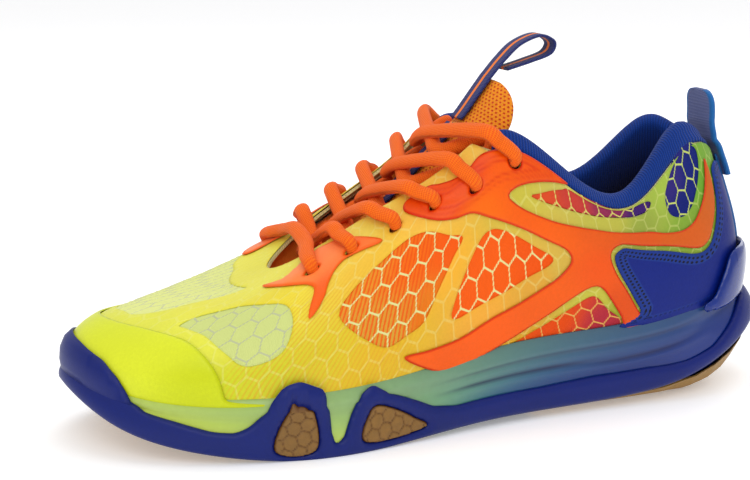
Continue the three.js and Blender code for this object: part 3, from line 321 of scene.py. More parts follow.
# A sheet from offset inner, thick mm deep, whose rim falls off in a quarter round.
def makePanel(name, outline, holes, inner, thick, material, cell=1., face=onUpper, scale=patternUnit,
              edgeRound=.8, relief=None, tint=None):
    p, tris, edge, along = cutPattern(outline, holes, cell)
    s, h = p[:, 0] / scale[0], p[:, 1] / scale[1]
    fall = np.clip(edge / edgeRound, 0, 1)
    depth = thick * (.35 + .65 * np.sqrt(1 - (1 - fall) ** 2))
    if relief is not None:
        depth = depth + relief(p, edge)
    top = face(s, h, inner + depth)
    points = np.concatenate([top, face(s, h, inner)])
    floats = {"edge": np.concatenate([edge, edge]), "along": np.concatenate([along, along])}
    edges = np.concatenate([tris[:, [1, 0]], tris[:, [2, 1]], tris[:, [0, 2]]])
    key = np.sort(edges, 1)
    _, first, count = np.unique(key, axis=0, return_index=True, return_counts=True)
    rim = edges[first[count == 1]]
    n = len(p)
    side = np.stack([rim[:, 1], rim[:, 0], rim[:, 0] + n, rim[:, 1] + n], 1)
    faces = [tris[:, ::-1], tris + n, side]
    colours = {} if tint is None else {"tint": np.concatenate([tint(s, h)] * 2)}
    return fillMesh(name, points, faces, material, np.concatenate([p, p]), floats, colours)


roomLift = .014  # what a white room's reflection adds to every channel


def lin(r, g, b):  # sRGB levels to linear colour, less the room's reflection
    c = np.array([r, g, b], float) / 255
    return np.maximum(np.where(c <= .04045, c / 12.92, ((c + .055) / 1.055) ** 2.4) - roomLift, 0)


def blendOf(anchors, power=1.6):  # colours spread from chosen places, nearer ones counting more
    places = np.array([[a[0] * 32, a[1] * 90] for a in anchors])
    shades = np.array([lin(*a[2]) for a in anchors])

    def at(s, h):
        q = np.stack([s * 32, h * 90], -1)
        w = 1 / (((q[:, None, :] - places[None]) ** 2).sum(2) + 30) ** power
        return (w[..., None] * shades[None]).sum(1) / w.sum(1)[:, None]
    return at


# the hexagon net that shows over the whole upper: long cells leaning back
netSet = {"width": 7.2, "stretch": 1.75, "lean": 74., "half": .06}


# 1 on the net's lines, 0 in its cells: distance to the nearer of two staggered lattices.
def hexNet(p, cfg=netSet, soft=.03):
    a = math.radians(cfg["lean"] - 90)
    x = (p[:, 0] * math.cos(a) + p[:, 1] * math.sin(a)) / cfg["width"]
    y = (-p[:, 0] * math.sin(a) + p[:, 1] * math.cos(a)) / cfg["width"] / cfg["stretch"]
    root = math.sqrt(3)
    ax, ay = np.mod(x, 1) - .5, np.mod(y, root) - root / 2
    bx, by = np.mod(x - .5, 1) - .5, np.mod(y - root / 2, root) - root / 2
    nearA = ax ** 2 + ay ** 2 < bx ** 2 + by ** 2
    gx, gy = np.abs(np.where(nearA, ax, bx)), np.abs(np.where(nearA, ay, by))
    d = .5 - np.maximum(gx, gx * .5 + gy * root / 2)
    return 1 - np.clip((d - cfg["half"] + soft) / soft, 0, 1)


# Shader nodes
def addNode(tree, kind, **values):
    n = tree.nodes.new(kind)
    for k, v in values.items():
        setattr(n, k, v)
    return n


def feed(tree, socket, value):
    if isinstance(value, bpy.types.NodeSocket):
        tree.links.new(value, socket)
    else:
        socket.default_value = value


def calc(tree, operation, *values):
    n = addNode(tree, "ShaderNodeMath", operation=operation)
    for k, v in enumerate(values):
        feed(tree, n.inputs[k], v)
    return n.outputs[0]


def mixColour(tree, share, a, b, kind="MIX"):
    n = addNode(tree, "ShaderNodeMix", data_type="RGBA", blend_type=kind)
    feed(tree, n.inputs[0], share)
    feed(tree, n.inputs[6], a)
    feed(tree, n.inputs[7], b)
    return n.outputs[2]


def split(tree, vector):
    n = addNode(tree, "ShaderNodeSeparateXYZ")
    feed(tree, n.inputs[0], vector)
    return n.outputs[0], n.outputs[1], n.outputs[2]


def stepUp(tree, value, low, high):
    n = addNode(tree, "ShaderNodeMapRange", interpolation_type="SMOOTHSTEP")
    feed(tree, n.inputs[0], value)
    n.inputs[1].default_value, n.inputs[2].default_value = low, high
    return n.outputs[0]


def newGroup(name, ins, outs):
    g = bpy.data.node_groups.new(name, "ShaderNodeTree")
    for label, kind, value in ins:
        s = g.interface.new_socket(label, in_out="INPUT", socket_type=kind)
        if value is not None:
            s.default_value = value
    for label, kind in outs:
        g.interface.new_socket(label, in_out="OUTPUT", socket_type=kind)
    return g, addNode(g, "NodeGroupInput"), addNode(g, "NodeGroupOutput")


def buildNetGroup():  # the same two-lattice formula as hexNet, worked out per shading point
    keys = ("width", "stretch", "lean", "half")
    sizes = [(key.capitalize(), "NodeSocketFloat", netSet[key]) for key in keys]
    g, i, o = newGroup("hexNet", [("Flat", "NodeSocketVector", None)] + sizes, [("Line", "NodeSocketFloat")])
    px, py, _ = split(g, i.outputs["Flat"])
    a = calc(g, "MULTIPLY", calc(g, "SUBTRACT", i.outputs["Lean"], 90.), math.pi / 180)
    ca, sa = calc(g, "COSINE", a), calc(g, "SINE", a)
    x = calc(g, "ADD", calc(g, "MULTIPLY", px, ca), calc(g, "MULTIPLY", py, sa))
    x = calc(g, "DIVIDE", x, i.outputs["Width"])
    y = calc(g, "SUBTRACT", calc(g, "MULTIPLY", py, ca), calc(g, "MULTIPLY", px, sa))
    y = calc(g, "DIVIDE", calc(g, "DIVIDE", y, i.outputs["Width"]), i.outputs["Stretch"])
    root = math.sqrt(3)
    pair = []
    for shift in (0., .5):
        gx, gy = (calc(g, "FLOORED_MODULO", calc(g, "SUBTRACT", v, shift * step), step)
                  for v, step in ((x, 1.), (y, root)))
        gx = calc(g, "ABSOLUTE", calc(g, "SUBTRACT", gx, .5))
        gy = calc(g, "ABSOLUTE", calc(g, "SUBTRACT", gy, root / 2))
        slant = calc(g, "ADD", calc(g, "MULTIPLY", gx, .5), calc(g, "MULTIPLY", gy, root / 2))
        pair.append(calc(g, "MAXIMUM", gx, slant))
    d = calc(g, "SUBTRACT", .5, calc(g, "MINIMUM", pair[0], pair[1]))
    away = calc(g, "DIVIDE", calc(g, "SUBTRACT", d, calc(g, "SUBTRACT", i.outputs["Half"], .03)), .03)
    n = addNode(g, "ShaderNodeClamp")
    feed(g, n.inputs[0], away)
    feed(g, o.inputs[0], calc(g, "SUBTRACT", 1., n.outputs[0]))
    return g


def buildStitchGroup():  # a row of short stitches or holes at a distance from a panel's edge
    g, i, o = newGroup("seamRow", [("Edge", "NodeSocketFloat", 0.), ("Along", "NodeSocketFloat", 0.),
                                   ("Inset", "NodeSocketFloat", 2.), ("Pitch", "NodeSocketFloat", 2.4),
                                   ("Long", "NodeSocketFloat", .7), ("Wide", "NodeSocketFloat", .35)],
                       [("Mask", "NodeSocketFloat")])
    phase = calc(g, "FRACT", calc(g, "DIVIDE", i.outputs["Along"], i.outputs["Pitch"]))
    u = calc(g, "MULTIPLY", calc(g, "SUBTRACT", phase, .5), i.outputs["Pitch"])
    u = calc(g, "DIVIDE", u, i.outputs["Long"])
    v = calc(g, "DIVIDE", calc(g, "SUBTRACT", i.outputs["Edge"], i.outputs["Inset"]), i.outputs["Wide"])
    r = calc(g, "ADD", calc(g, "MULTIPLY", u, u), calc(g, "MULTIPLY", v, v))
    feed(g, o.inputs[0], calc(g, "SUBTRACT", 1., stepUp(g, r, .7, 1.3)))
    return g


def buildWeaveGroup():  # crossed sine ridges, as in a woven or braided cloth
    g, i, o = newGroup("weave", [("Flat", "NodeSocketVector", None), ("Across", "NodeSocketFloat", 1.),
                                 ("Up", "NodeSocketFloat", 1.), ("Slant", "NodeSocketFloat", 0.)],
                       [("Height", "NodeSocketFloat")])
    px, py, _ = split(g, i.outputs["Flat"])
    slant = i.outputs["Slant"]
    u = calc(g, "DIVIDE", calc(g, "ADD", px, calc(g, "MULTIPLY", py, slant)), i.outputs["Across"])
    v = calc(g, "DIVIDE", calc(g, "SUBTRACT", py, calc(g, "MULTIPLY", px, slant)), i.outputs["Up"])
    waves = [calc(g, "SINE", calc(g, "MULTIPLY", w, 2 * math.pi)) for w in (u, v)]
    feed(g, o.inputs[0], calc(g, "ADD", calc(g, "MULTIPLY", calc(g, "MULTIPLY", waves[0], waves[1]), .5), .5))
    return g


netGroup, stitchGroup, weaveGroup = buildNetGroup(), buildStitchGroup(), buildWeaveGroup()


# One material under construction: its tree, its shader and the sockets it reads.
class Finish:
    def __init__(self, name, roughness=.5, coat=0., sheen=0., specular=.5):
        self.material = bpy.data.materials.new(name)
        self.material.use_nodes = True
        self.tree = self.material.node_tree
        self.shader = self.tree.nodes["Principled BSDF"]
        for socket, value in (("Roughness", roughness), ("Coat Weight", coat), ("Coat Roughness", .12),
                              ("Sheen Weight", sheen), ("Specular IOR Level", specular)):
            self.shader.inputs[socket].default_value = value
        self.uv = addNode(self.tree, "ShaderNodeUVMap", uv_map="flat").outputs[0]
        self.object = addNode(self.tree, "ShaderNodeTexCoord").outputs["Object"]

    def read(self, name):
        return addNode(self.tree, "ShaderNodeAttribute", attribute_name=name).outputs["Fac"]

    def tint(self):
        return addNode(self.tree, "ShaderNodeAttribute", attribute_name="tint").outputs["Color"]

    def group(self, group, **values):
        n = addNode(self.tree, "ShaderNodeGroup", node_tree=group)
        for k, v in values.items():
            feed(self.tree, n.inputs[k], v)
        return n.outputs[0]

    def noise(self, scale, detail=2., source=None):
        n = addNode(self.tree, "ShaderNodeTexNoise")
        feed(self.tree, n.inputs["Vector"], source if source is not None else self.object)
        n.inputs["Scale"].default_value, n.inputs["Detail"].default_value = scale, detail
        return n.outputs["Fac"]

    def colour(self, value):
        feed(self.tree, self.shader.inputs["Base Color"], value)

    def bump(self, height, distance, strength):
        n = addNode(self.tree, "ShaderNodeBump")
        n.inputs["Strength"].default_value = strength
        n.inputs["Distance"].default_value = distance
        feed(self.tree, n.inputs["Height"], height)
        feed(self.tree, self.shader.inputs["Normal"], n.outputs[0])


def rgb(*c):
    return (*lin(*c), 1.)


def speckled(f, colour, dark=.85, scale=900.):  # slow and fine variation over a plain colour
    t = f.tree
    slow = f.noise(scale / 30, 2.)
    fine = f.noise(scale, 2.)
    both = calc(t, "ADD", calc(t, "MULTIPLY", slow, .6), calc(t, "MULTIPLY", fine, .4))
    shade = mixColour(t, 1., colour, (dark, dark, dark, 1.), "MULTIPLY")
    return mixColour(t, stepUp(t, both, .35, .65), shade, colour)


filmSet = {"net": .75, "stripes": .45, "stripePitch": 1.9, "stripeLean": .28, "cell": 1.15, "edge": 1.3}


def makeFilm(name, cfg):  # its own tint, paler on the net's lines, with fine broken stripes at the ball
    f = Finish(name, .45, coat=.03, specular=.22)
    t = f.tree
    base = f.tint()
    line = f.group(netGroup, Flat=f.uv)
    pale = mixColour(t, .3, base, rgb(240, 240, 150))
    lit = mixColour(t, calc(t, "MULTIPLY", line, cfg["net"]), base, pale)
    height = calc(t, "MULTIPLY", line, .4)
    px, py, _ = split(t, f.uv)
    slanted = calc(t, "ADD", px, calc(t, "MULTIPLY", py, cfg["stripeLean"]))
    wave = calc(t, "SINE", calc(t, "MULTIPLY", slanted, 2 * math.pi / cfg["stripePitch"]))
    broken = calc(t, "MULTIPLY", wave, f.noise(.22, 1., f.uv))
    shown = calc(t, "MULTIPLY", f.read("stripe"), cfg["stripes"])
    mask = calc(t, "MULTIPLY", stepUp(t, broken, .1, .35), shown)
    lit = mixColour(t, mask, lit, rgb(224, 160, 45))
    height = calc(t, "ADD", height, calc(t, "MULTIPLY", mask, .5))
    fine = f.noise(1700., 2.)
    f.colour(speckled(f, lit, .93))
    f.bump(calc(t, "ADD", height, calc(t, "MULTIPLY", fine, .25)), .00022, .8)
    return f.material


windowSet = {"stripePitch": 1.7, "stripeLean": -.12, "unrest": 2.2, "knit": .9, "knitShade": .16}


# The mesh base seen through a window of the film: tinted ground, pale raised net.
def makeWindowNet(name, line, stripe=None):
    f = Finish(name, .65, specular=.2)
    t = f.tree
    px, py, _ = split(t, f.uv)
    ground = f.tint()
    if stripe:
        slanted = calc(t, "ADD", px, calc(t, "MULTIPLY", py, windowSet["stripeLean"]))
        wave = calc(t, "SINE", calc(t, "MULTIPLY", slanted, 2 * math.pi / windowSet["stripePitch"]))
        unrest = calc(t, "SUBTRACT", f.noise(.5, 2., f.uv), .5)
        unrest = calc(t, "MULTIPLY", unrest, windowSet["unrest"])
        share = calc(t, "MULTIPLY", stepUp(t, calc(t, "ADD", wave, unrest), -.1, .5), f.read("stripe"))
        ground = mixColour(t, share, ground, stripe)
    knit = f.group(weaveGroup, Flat=f.uv, Across=windowSet["knit"], Up=windowSet["knit"], Slant=.5)
    shade = mixColour(t, 1., ground, (.55, .55, .55, 1.), "MULTIPLY")
    ground = mixColour(t, calc(t, "MULTIPLY", knit, windowSet["knitShade"]), ground, shade)
    mask = f.read("net")
    f.colour(mixColour(t, stepUp(t, mask, .25, .75), ground, line))
    f.bump(calc(t, "ADD", calc(t, "MULTIPLY", knit, calc(t, "SUBTRACT", 1., mask)), mask), .0003, .6)
    return f.material


def makeRubber(name, colour, roughness=.45, coat=0., grain=.3):
    f = Finish(name, roughness, coat=coat, specular=.28)
    f.colour(speckled(f, colour, .86, 700.))
    f.bump(f.noise(2600., 3.), .00012, grain)
    return f.material


def makeGum(name):
    f = Finish(name, .55)
    t = f.tree
    # painted shade: the grooves between the tread's polygons and the rim round each pod are darkened to brown
    grooveShade = f.read("grooveShade")
    base = speckled(f, rgb(138, 100, 46), .8, 500.)
    f.colour(mixColour(t, grooveShade, base, rgb(98, 60, 14)))
    f.bump(calc(t, "SUBTRACT", f.noise(1800., 3.), grooveShade), .0002, .5)
    return f.material


holeSet = {"across": 2.1, "up": 1.5, "squash": 1.6, "fray": .25}


# Orange mesh with rows of red-orange holes.
def makeTongueMesh(name):
    f = Finish(name, .75, sheen=.05, specular=.25)
    t = f.tree
    px, py, _ = split(t, f.uv)
    across, up = holeSet["across"], holeSet["up"]
    row = calc(t, "FLOOR", calc(t, "DIVIDE", py, up))
    shift = calc(t, "MULTIPLY", calc(t, "FLOORED_MODULO", row, 2.), across / 2)
    u = calc(t, "FLOORED_MODULO", calc(t, "ADD", px, shift), across)
    u = calc(t, "SUBTRACT", u, across / 2)
    v = calc(t, "SUBTRACT", calc(t, "FLOORED_MODULO", py, up), up / 2)
    v = calc(t, "MULTIPLY", calc(t, "MULTIPLY", v, v), holeSet["squash"])
    r = calc(t, "ADD", calc(t, "MULTIPLY", u, u), v)
    r = calc(t, "ADD", r, calc(t, "MULTIPLY", f.noise(.6, 2., f.uv), holeSet["fray"]))
    hole = calc(t, "SUBTRACT", 1., stepUp(t, r, .2, .5))
    f.colour(mixColour(t, hole, speckled(f, rgb(250, 150, 40), .85), rgb(222, 62, 12)))
    f.bump(calc(t, "SUBTRACT", f.noise(1500., 2.), calc(t, "MULTIPLY", hole, 1.4)), .0006, .8)
    return f.material


def makeLaceCord(name):
    f = Finish(name, .7, sheen=.05, specular=.25)
    t = f.tree
    braid = f.group(weaveGroup, Flat=f.uv, Across=1.5, Up=1.5, Slant=.75)
    f.colour(mixColour(t, braid, rgb(236, 82, 0), rgb(255, 128, 12)))
    f.bump(braid, .00035, .8)
    return f.material


def makeWebbing(name, colour, dark, slant=.6, edge=None, centre=None):
    f = Finish(name, .72, sheen=.08, specular=.3)
    t = f.tree
    px, py, _ = split(t, f.uv)
    twill = f.group(weaveGroup, Flat=f.uv, Across=1.1, Up=1.6, Slant=slant)
    shade = mixColour(t, twill, dark, colour)
    if centre:
        outside = stepUp(t, calc(t, "ABSOLUTE", py), .8, 1.2)
        shade = mixColour(t, outside, centre, shade)
    if edge:
        shade = mixColour(t, stepUp(t, f.read("side"), .78, .84), shade, edge)
    f.colour(shade)
    f.bump(twill, .0003, .7)
    return f.material


# A fused overlay: its own tint, a darker line round the rim, painted shade in its carved grooves and a faint
# grain.
def makeOverlay(name, outlineShade, gloss=.38, grooveWidth=1.):
    f = Finish(name, gloss, coat=.03, specular=.2)
    t = f.tree
    edge = f.read("edge")
    rim = calc(t, "SUBTRACT", 1., stepUp(t, edge, .3, .3 + grooveWidth))
    # painted shade: the carve mask darkens the colour towards the outline shade in carved grooves and between
    # ridges
    carveShade = f.read("carveShade")
    shade = mixColour(t, calc(t, "MULTIPLY", rim, .75), speckled(f, f.tint(), .92), outlineShade)
    f.colour(mixColour(t, calc(t, "MULTIPLY", carveShade, .6), shade, outlineShade))
    f.bump(f.noise(2200., 2.), .00012, .5)
    return f.material


punchSet = {"insets": (2.1, 4.3), "pitch": 2.5, "long": .75, "wide": .62, "lane": 5.2}


# Blue fused leather with two rows of punched stitching inside its free edge.
def makeFoxing(name):
    f = Finish(name, .5, coat=.02, specular=.22)
    t = f.tree
    edge, along = f.read("edge"), f.read("along")
    free = f.read("free")
    rows = [f.group(stitchGroup, Edge=edge, Along=along, Inset=inset, Pitch=punchSet["pitch"],
                    Long=punchSet["long"], Wide=punchSet["wide"]) for inset in punchSet["insets"]]
    holes = calc(t, "MULTIPLY", calc(t, "MAXIMUM", rows[0], rows[1]), free)
    beyond = stepUp(t, edge, punchSet["lane"], punchSet["lane"] + .6)
    lane = calc(t, "MULTIPLY", calc(t, "SUBTRACT", 1., beyond), free)
    base = speckled(f, rgb(2, 44, 124), .88, 600.)
    base = mixColour(t, calc(t, "MULTIPLY", lane, .3), base, rgb(50, 84, 160))
    f.colour(mixColour(t, holes, base, rgb(4, 10, 50)))
    grain = f.noise(900., 4.)
    f.bump(calc(t, "SUBTRACT", calc(t, "MULTIPLY", grain, .5), calc(t, "MULTIPLY", holes, 1.5)), .0004, .6)
    return f.material


def makeMidsole(name):
    f = Finish(name, .3, coat=.25, specular=.35)
    t = f.tree
    # painted shade: the skin is darkened to navy along its carved grooves
    f.colour(mixColour(t, calc(t, "MULTIPLY", f.read("carveShade"), .8), speckled(f, f.tint(), .93, 400.),
                       rgb(4, 20, 70)))
    f.bump(f.noise(900., 2.), .0001, .3)
    return f.material


def makeCloth(name, colour, dark, size=.0012):  # a small square weave, size metres from thread to thread
    f = Finish(name, .85, sheen=.2)
    t = f.tree
    mapping = addNode(t, "ShaderNodeMapping")
    feed(t, mapping.inputs[0], f.object)
    mapping.inputs["Scale"].default_value = (1 / size,) * 3
    weave = f.group(weaveGroup, Flat=mapping.outputs[0], Across=1., Up=1., Slant=.5)
    f.colour(mixColour(t, weave, dark, colour))
    f.bump(weave, size * .3, .5)
    return f.material


def makePlain(name, colour, roughness):
    f = Finish(name, roughness)
    f.colour(speckled(f, colour, .85))
    f.bump(f.noise(1500., 2.), .0001, .4)
    return f.material


print("finishes ready")


# A CAD node's own solid, with a procedural finish.
def wear(node, material):
    o = nodes[node]
    o.data.materials.clear()
    o.data.materials.append(material)
    o.data.polygons.foreach_set("use_smooth", np.ones(len(o.data.polygons), bool))
    o.data.set_sharp_from_angle(angle=math.radians(38))


def settle(o, body="root", stands=()):
    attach(o, body)
    if stands:
        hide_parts(*stands)
    return o


gum = makePlain("gumPlain", rgb(160, 122, 62), .55)
for node in ("outsole_forefoot", "outsole_heel"):
    wear(node, gum)
wear("shank_plate", makePlain("plate", rgb(34, 34, 40), .32))
wear("strobel_board", makeCloth("board", rgb(232, 228, 216), rgb(200, 196, 184)))
wear("sockliner", makeCloth("sockCloth", rgb(8, 48, 128), rgb(4, 24, 84)))
wear("upper_shell", makeCloth("baseKnit", rgb(236, 236, 170), rgb(190, 190, 120), .0011))
wear("toe_puff", makeCloth("puff", rgb(214, 208, 196), rgb(186, 180, 168)))
for node in ("eyestay_backing_lateral", "eyestay_backing_medial"):
    wear(node, makeCloth(node, rgb(206, 200, 150), rgb(170, 164, 118)))
wear("heel_counter", makePlain("counter", rgb(84, 84, 80), .6))

# Outlines, [station, per cent of the height]
toeWindow = [
    [9.0, 49], [8.95, 58], [8.6, 64], [8.2, 62], [7.85, 58], [7.6, 48], [7.48, 36], [7.52, 27],
    [7.8, 23], [8.1, 31], [8.5, 42], [8.85, 47]]
vampWindow = [
    [10.1, 45], [10.6, 40], [11.2, 38], [11.8, 41], [12.3, 49], [12.4, 60], [12.1, 70], [11.4, 78],
    [10.8, 84], [9.4, 84], [9.2, 80], [9.5, 68], [9.6, 56], [9.8, 47]]
midWindow = [
    [7.04, 45], [7.03, 53], [6.88, 62], [6.62, 70], [6.4, 73], [6.14, 71], [5.8, 64], [5.57, 60],
    [5.66, 53], [5.78, 40], [5.86, 29], [6.05, 25], [6.28, 22], [6.6, 29], [6.9, 38]]
arrowWindow = [
    [5.5, 28], [5.44, 42], [5.3, 55], [5.15, 59], [4.9, 58], [4.5, 54], [4.22, 51], [4.25, 46],
    [4.5, 39], [4.8, 32], [5.2, 27], [5.4, 25]]
archWindow = [[4.9, 3], [4.6, 5], [4.15, 13], [3.85, 21], [3.62, 28], [3.5, 28], [3.35, 20], [3.16, 3]]
collarWindow = [
    [4.63, 75], [4.5, 78], [4.2, 86], [4.02, 89], [3.1, 89], [2.8, 87], [2.68, 83], [2.8, 80],
    [3.3, 84], [3.7, 82], [4.1, 78], [4.45, 75]]
heelWindow = [
    [1.7, 90], [1.95, 90], [2.2, 88], [2.36, 82], [2.4, 76], [2.32, 66], [2.1, 60], [1.9, 62],
    [1.72, 70], [1.58, 79], [1.55, 87]]
medialWindow = [
    [14.3, 40], [14.1, 62], [14.2, 78], [14.8, 82], [15.4, 70], [15.6, 50], [15.2, 33], [14.7, 29]]
filmEdge = [
    [0.12, 2], [0.12, 90], [5.25, 90], [5.6, 99.8], [14.4, 99.8], [14.75, 90], [19.88, 90], [19.88, 2]]
toeCapEdge = [
    [7.85, 2], [7.9, 6], [8.02, 17], [8.26, 28], [8.66, 38], [9.2, 41], [9.8, 38], [10.5, 34], [11.2, 33],
    [11.8, 32], [12.3, 31], [12.7, 36], [13.1, 50], [13.5, 64], [13.8, 64], [14.0, 45], [14.3, 20], [14.6, 2]]
wingEdge = [
    [5.45, 91.5], [5.1, 91], [4.6, 91], [4.17, 91], [4.14, 90], [4.3, 87], [4.6, 81], [4.85, 76],
    [4.95, 72.5], [4.87, 70], [4.65, 68], [4.3, 68.5], [3.9, 72], [3.6, 74], [3.2, 73], [2.8, 67],
    [2.45, 58], [2.14, 53], [1.91, 54], [1.73, 60], [1.59, 67], [1.48, 76], [1.42, 82], [1.36, 78],
    [1.34, 68], [1.39, 58], [1.52, 47], [1.68, 39], [1.94, 39], [2.56, 52], [3.09, 63], [3.3, 64],
    [3.4, 58], [3.3, 46], [3.1, 31], [2.89, 14], [2.74, 2], [3.02, 2], [3.14, 13], [3.33, 27],
    [3.45, 34], [3.56, 36], [3.72, 33], [4.11, 20], [4.49, 11], [4.87, 5], [5.2, 2], [5.45, 2],
    [5.66, 5], [6.03, 15], [5.7, 15], [5.32, 16], [4.95, 21], [4.56, 27], [4.2, 37], [4.03, 45],
    [3.97, 52], [4.08, 57], [4.4, 58.5], [4.89, 61], [5.2, 64], [5.5, 68.5], [5.76, 70], [6.05, 74],
    [6.4, 82], [6.62, 89], [6.6, 94], [6.3, 95], [6.1, 92], [5.85, 89], [5.64, 89]]
laceStrapEdge = [
    [8.66, 79], [8.34, 80], [8.28, 86], [8.15, 94], [7.9, 95], [7.54, 92], [7.15, 85], [6.84, 77.5],
    [7.15, 77], [7.34, 76], [7.41, 71], [7.39, 63], [7.34, 56], [7.34, 48], [7.38, 45], [7.44, 50],
    [7.55, 62], [7.71, 67], [7.94, 70], [8.3, 74]]
medialStrapEdge = [
    [11.6, 82], [11.8, 90], [11.9, 95], [12.4, 94], [13.0, 88], [13.3, 82], [12.9, 75], [12.3, 71],
    [11.8, 75]]
medialPanelEdge = [
    [13.5, 84], [13.5, 92], [14.1, 91], [14.4, 88], [14.7, 90], [15.6, 91], [16.0, 88], [16.1, 80],
    [15.9, 68], [15.6, 62], [15.45, 74], [14.9, 85.5], [14.2, 82]]
foxingHalf = [
    [2.7, 2], [2.84, 13], [3.05, 30], [3.25, 46], [3.33, 56], [3.24, 61], [3.08, 60], [2.56, 49], [1.96, 36],
    [1.66, 36], [1.47, 45], [1.34, 57], [1.28, 68], [1.2, 77], [0.7, 82]]
lateralEyelets = [[7.82, 77], [7.3, 80.5], [6.71, 83], [6.14, 83], [5.49, 79], [4.9, 86]]
medialEyelets = [[20 - s, h] for s, h in lateralEyelets]
layer = {"film": (.45, .5), "overlay": (1.4, .6), "cap": (1.4, .8), "strap": (2.5, 1.2), "cradle": (4., 2.4),
         "hole": 2.7}


def mirrored(outline):  # the same outline on the medial side
    return [[20 - s, h] for s, h in outline][::-1]


def holeCurve(s, h, radius, sides=22):  # a true circle on the face, drawn in the flat pattern
    e = .05
    s0, h0 = np.array([float(s)]), np.array([h / 100])
    wide = np.linalg.norm(upperRaw(s0 + e, h0) - upperRaw(s0 - e, h0)) / (2 * e)
    high = np.linalg.norm(upperRaw(s0, h0 + e) - upperRaw(s0, h0 - e)) / (2 * e)
    turn = np.arange(sides) / sides * 2 * math.pi
    around = np.stack([s + radius * np.cos(turn) / wide, h / 100 + radius * np.sin(turn) / high], -1)
    return around * patternUnit


lateralHoles = [holeCurve(s, h, layer["hole"]) for s, h in lateralEyelets]
medialHoles = [holeCurve(s, h, layer["hole"]) for s, h in medialEyelets]

# The film over the whole upper, with its windows
filmAnchors = [(s, .3, (226, 228, 78)) for s in (8.5, 9, 9.5, 10, 10.5, 11, 11.5)] + [
    (9, .85, (232, 226, 84)), (10, .9, (232, 226, 84)), (11, .85, (232, 226, 84)),
    (8, .1, (205, 212, 45)), (7.5, .15, (208, 205, 50)), (7, .2, (215, 195, 50)),
    (6.5, .1, (220, 185, 45)), (6.3, .2, (225, 180, 45)), (7.9, .55, (235, 215, 60)),
    (7.3, .9, (240, 215, 90)), (6.9, .68, (238, 190, 60)), (6.3, .85, (240, 185, 70)),
    (5.75, .5, (240, 175, 55)), (5.7, .85, (242, 190, 75)), (5, .25, (240, 170, 60)),
    (4.4, .38, (225, 165, 60)), (4.1, .5, (215, 180, 75)), (4.6, .07, (220, 165, 45)),
    (3.6, .3, (195, 190, 70)), (3.1, .1, (160, 170, 50)), (4.9, .93, (215, 195, 100)),
    (4.2, .93, (200, 190, 90)), (4.85, .76, (200, 190, 70)), (3.5, .78, (190, 185, 75)),
    (2.8, .72, (150, 165, 70)), (2.45, .8, (165, 190, 75)), (2, .55, (130, 165, 60)),
    (1.6, .7, (110, 165, 55)), (1.4, .95, (120, 165, 60)), (.5, .9, (110, 165, 55)),
    (12, .5, (226, 226, 80)), (13, .6, (235, 215, 70)), (14, .5, (240, 190, 70)),
    (14.5, .85, (235, 195, 85)), (15.5, .7, (215, 195, 95)), (16, .3, (225, 180, 60)),
    (17, .5, (200, 190, 70)), (18.5, .6, (150, 175, 70)), (19.6, .9, (110, 165, 55))]
filmTint = blendOf(filmAnchors)


def bumpAt(x, low, high, soft):
    a = np.clip((x - low) / soft + .5, 0, 1)
    b = np.clip((high - x) / soft + .5, 0, 1)
    return a * a * (3 - 2 * a) * b * b * (3 - 2 * b)


def setPoint(o, name, values):
    a = o.data.attributes.get(name) or o.data.attributes.new(name, "FLOAT", "POINT")
    a.data.foreach_set("value", np.asarray(values, np.float32))


def patternOf(o):  # a panel's pattern coordinates, one per vertex
    uv = np.empty(len(o.data.loops) * 2, np.float32)
    o.data.uv_layers["flat"].data.foreach_get("uv", uv)
    index = np.empty(len(o.data.loops), np.int32)
    o.data.loops.foreach_get("vertex_index", index)
    out = np.zeros((len(o.data.vertices), 2))
    out[index] = uv.reshape(-1, 2)
    return out


allWindows = {"toe": toeWindow, "vamp": vampWindow, "mid": midWindow, "arrow": arrowWindow,
              "arch": archWindow, "collar": collarWindow, "heel": heelWindow, "medial": medialWindow,
              "medialCollar": mirrored(collarWindow), "medialHeel": mirrored(heelWindow)}
windowCurves = {k: roundedOutline(flat(v), 5) for k, v in allWindows.items()}


def netRelief(p, edge):  # the net's lines print through the film a little
    return hexNet(p, soft=.09) * .16


film = makePanel("skin_film", flat(filmEdge), list(windowCurves.values()) + lateralHoles + medialHoles,
                 *layer["film"], makeFilm("yellowFilm", filmSet), cell=filmSet["cell"], relief=netRelief,
                 tint=filmTint, edgeRound=filmSet["edge"])
filmPattern = patternOf(film)
stripeShare = bumpAt(filmPattern[:, 0] / 32, 5.9, 7.9, .5) * bumpAt(filmPattern[:, 1] / 90, -.2, .62, .3)
setPoint(film, "stripe", stripeShare)
settle(film, stands=("skin_film",))
print("film")

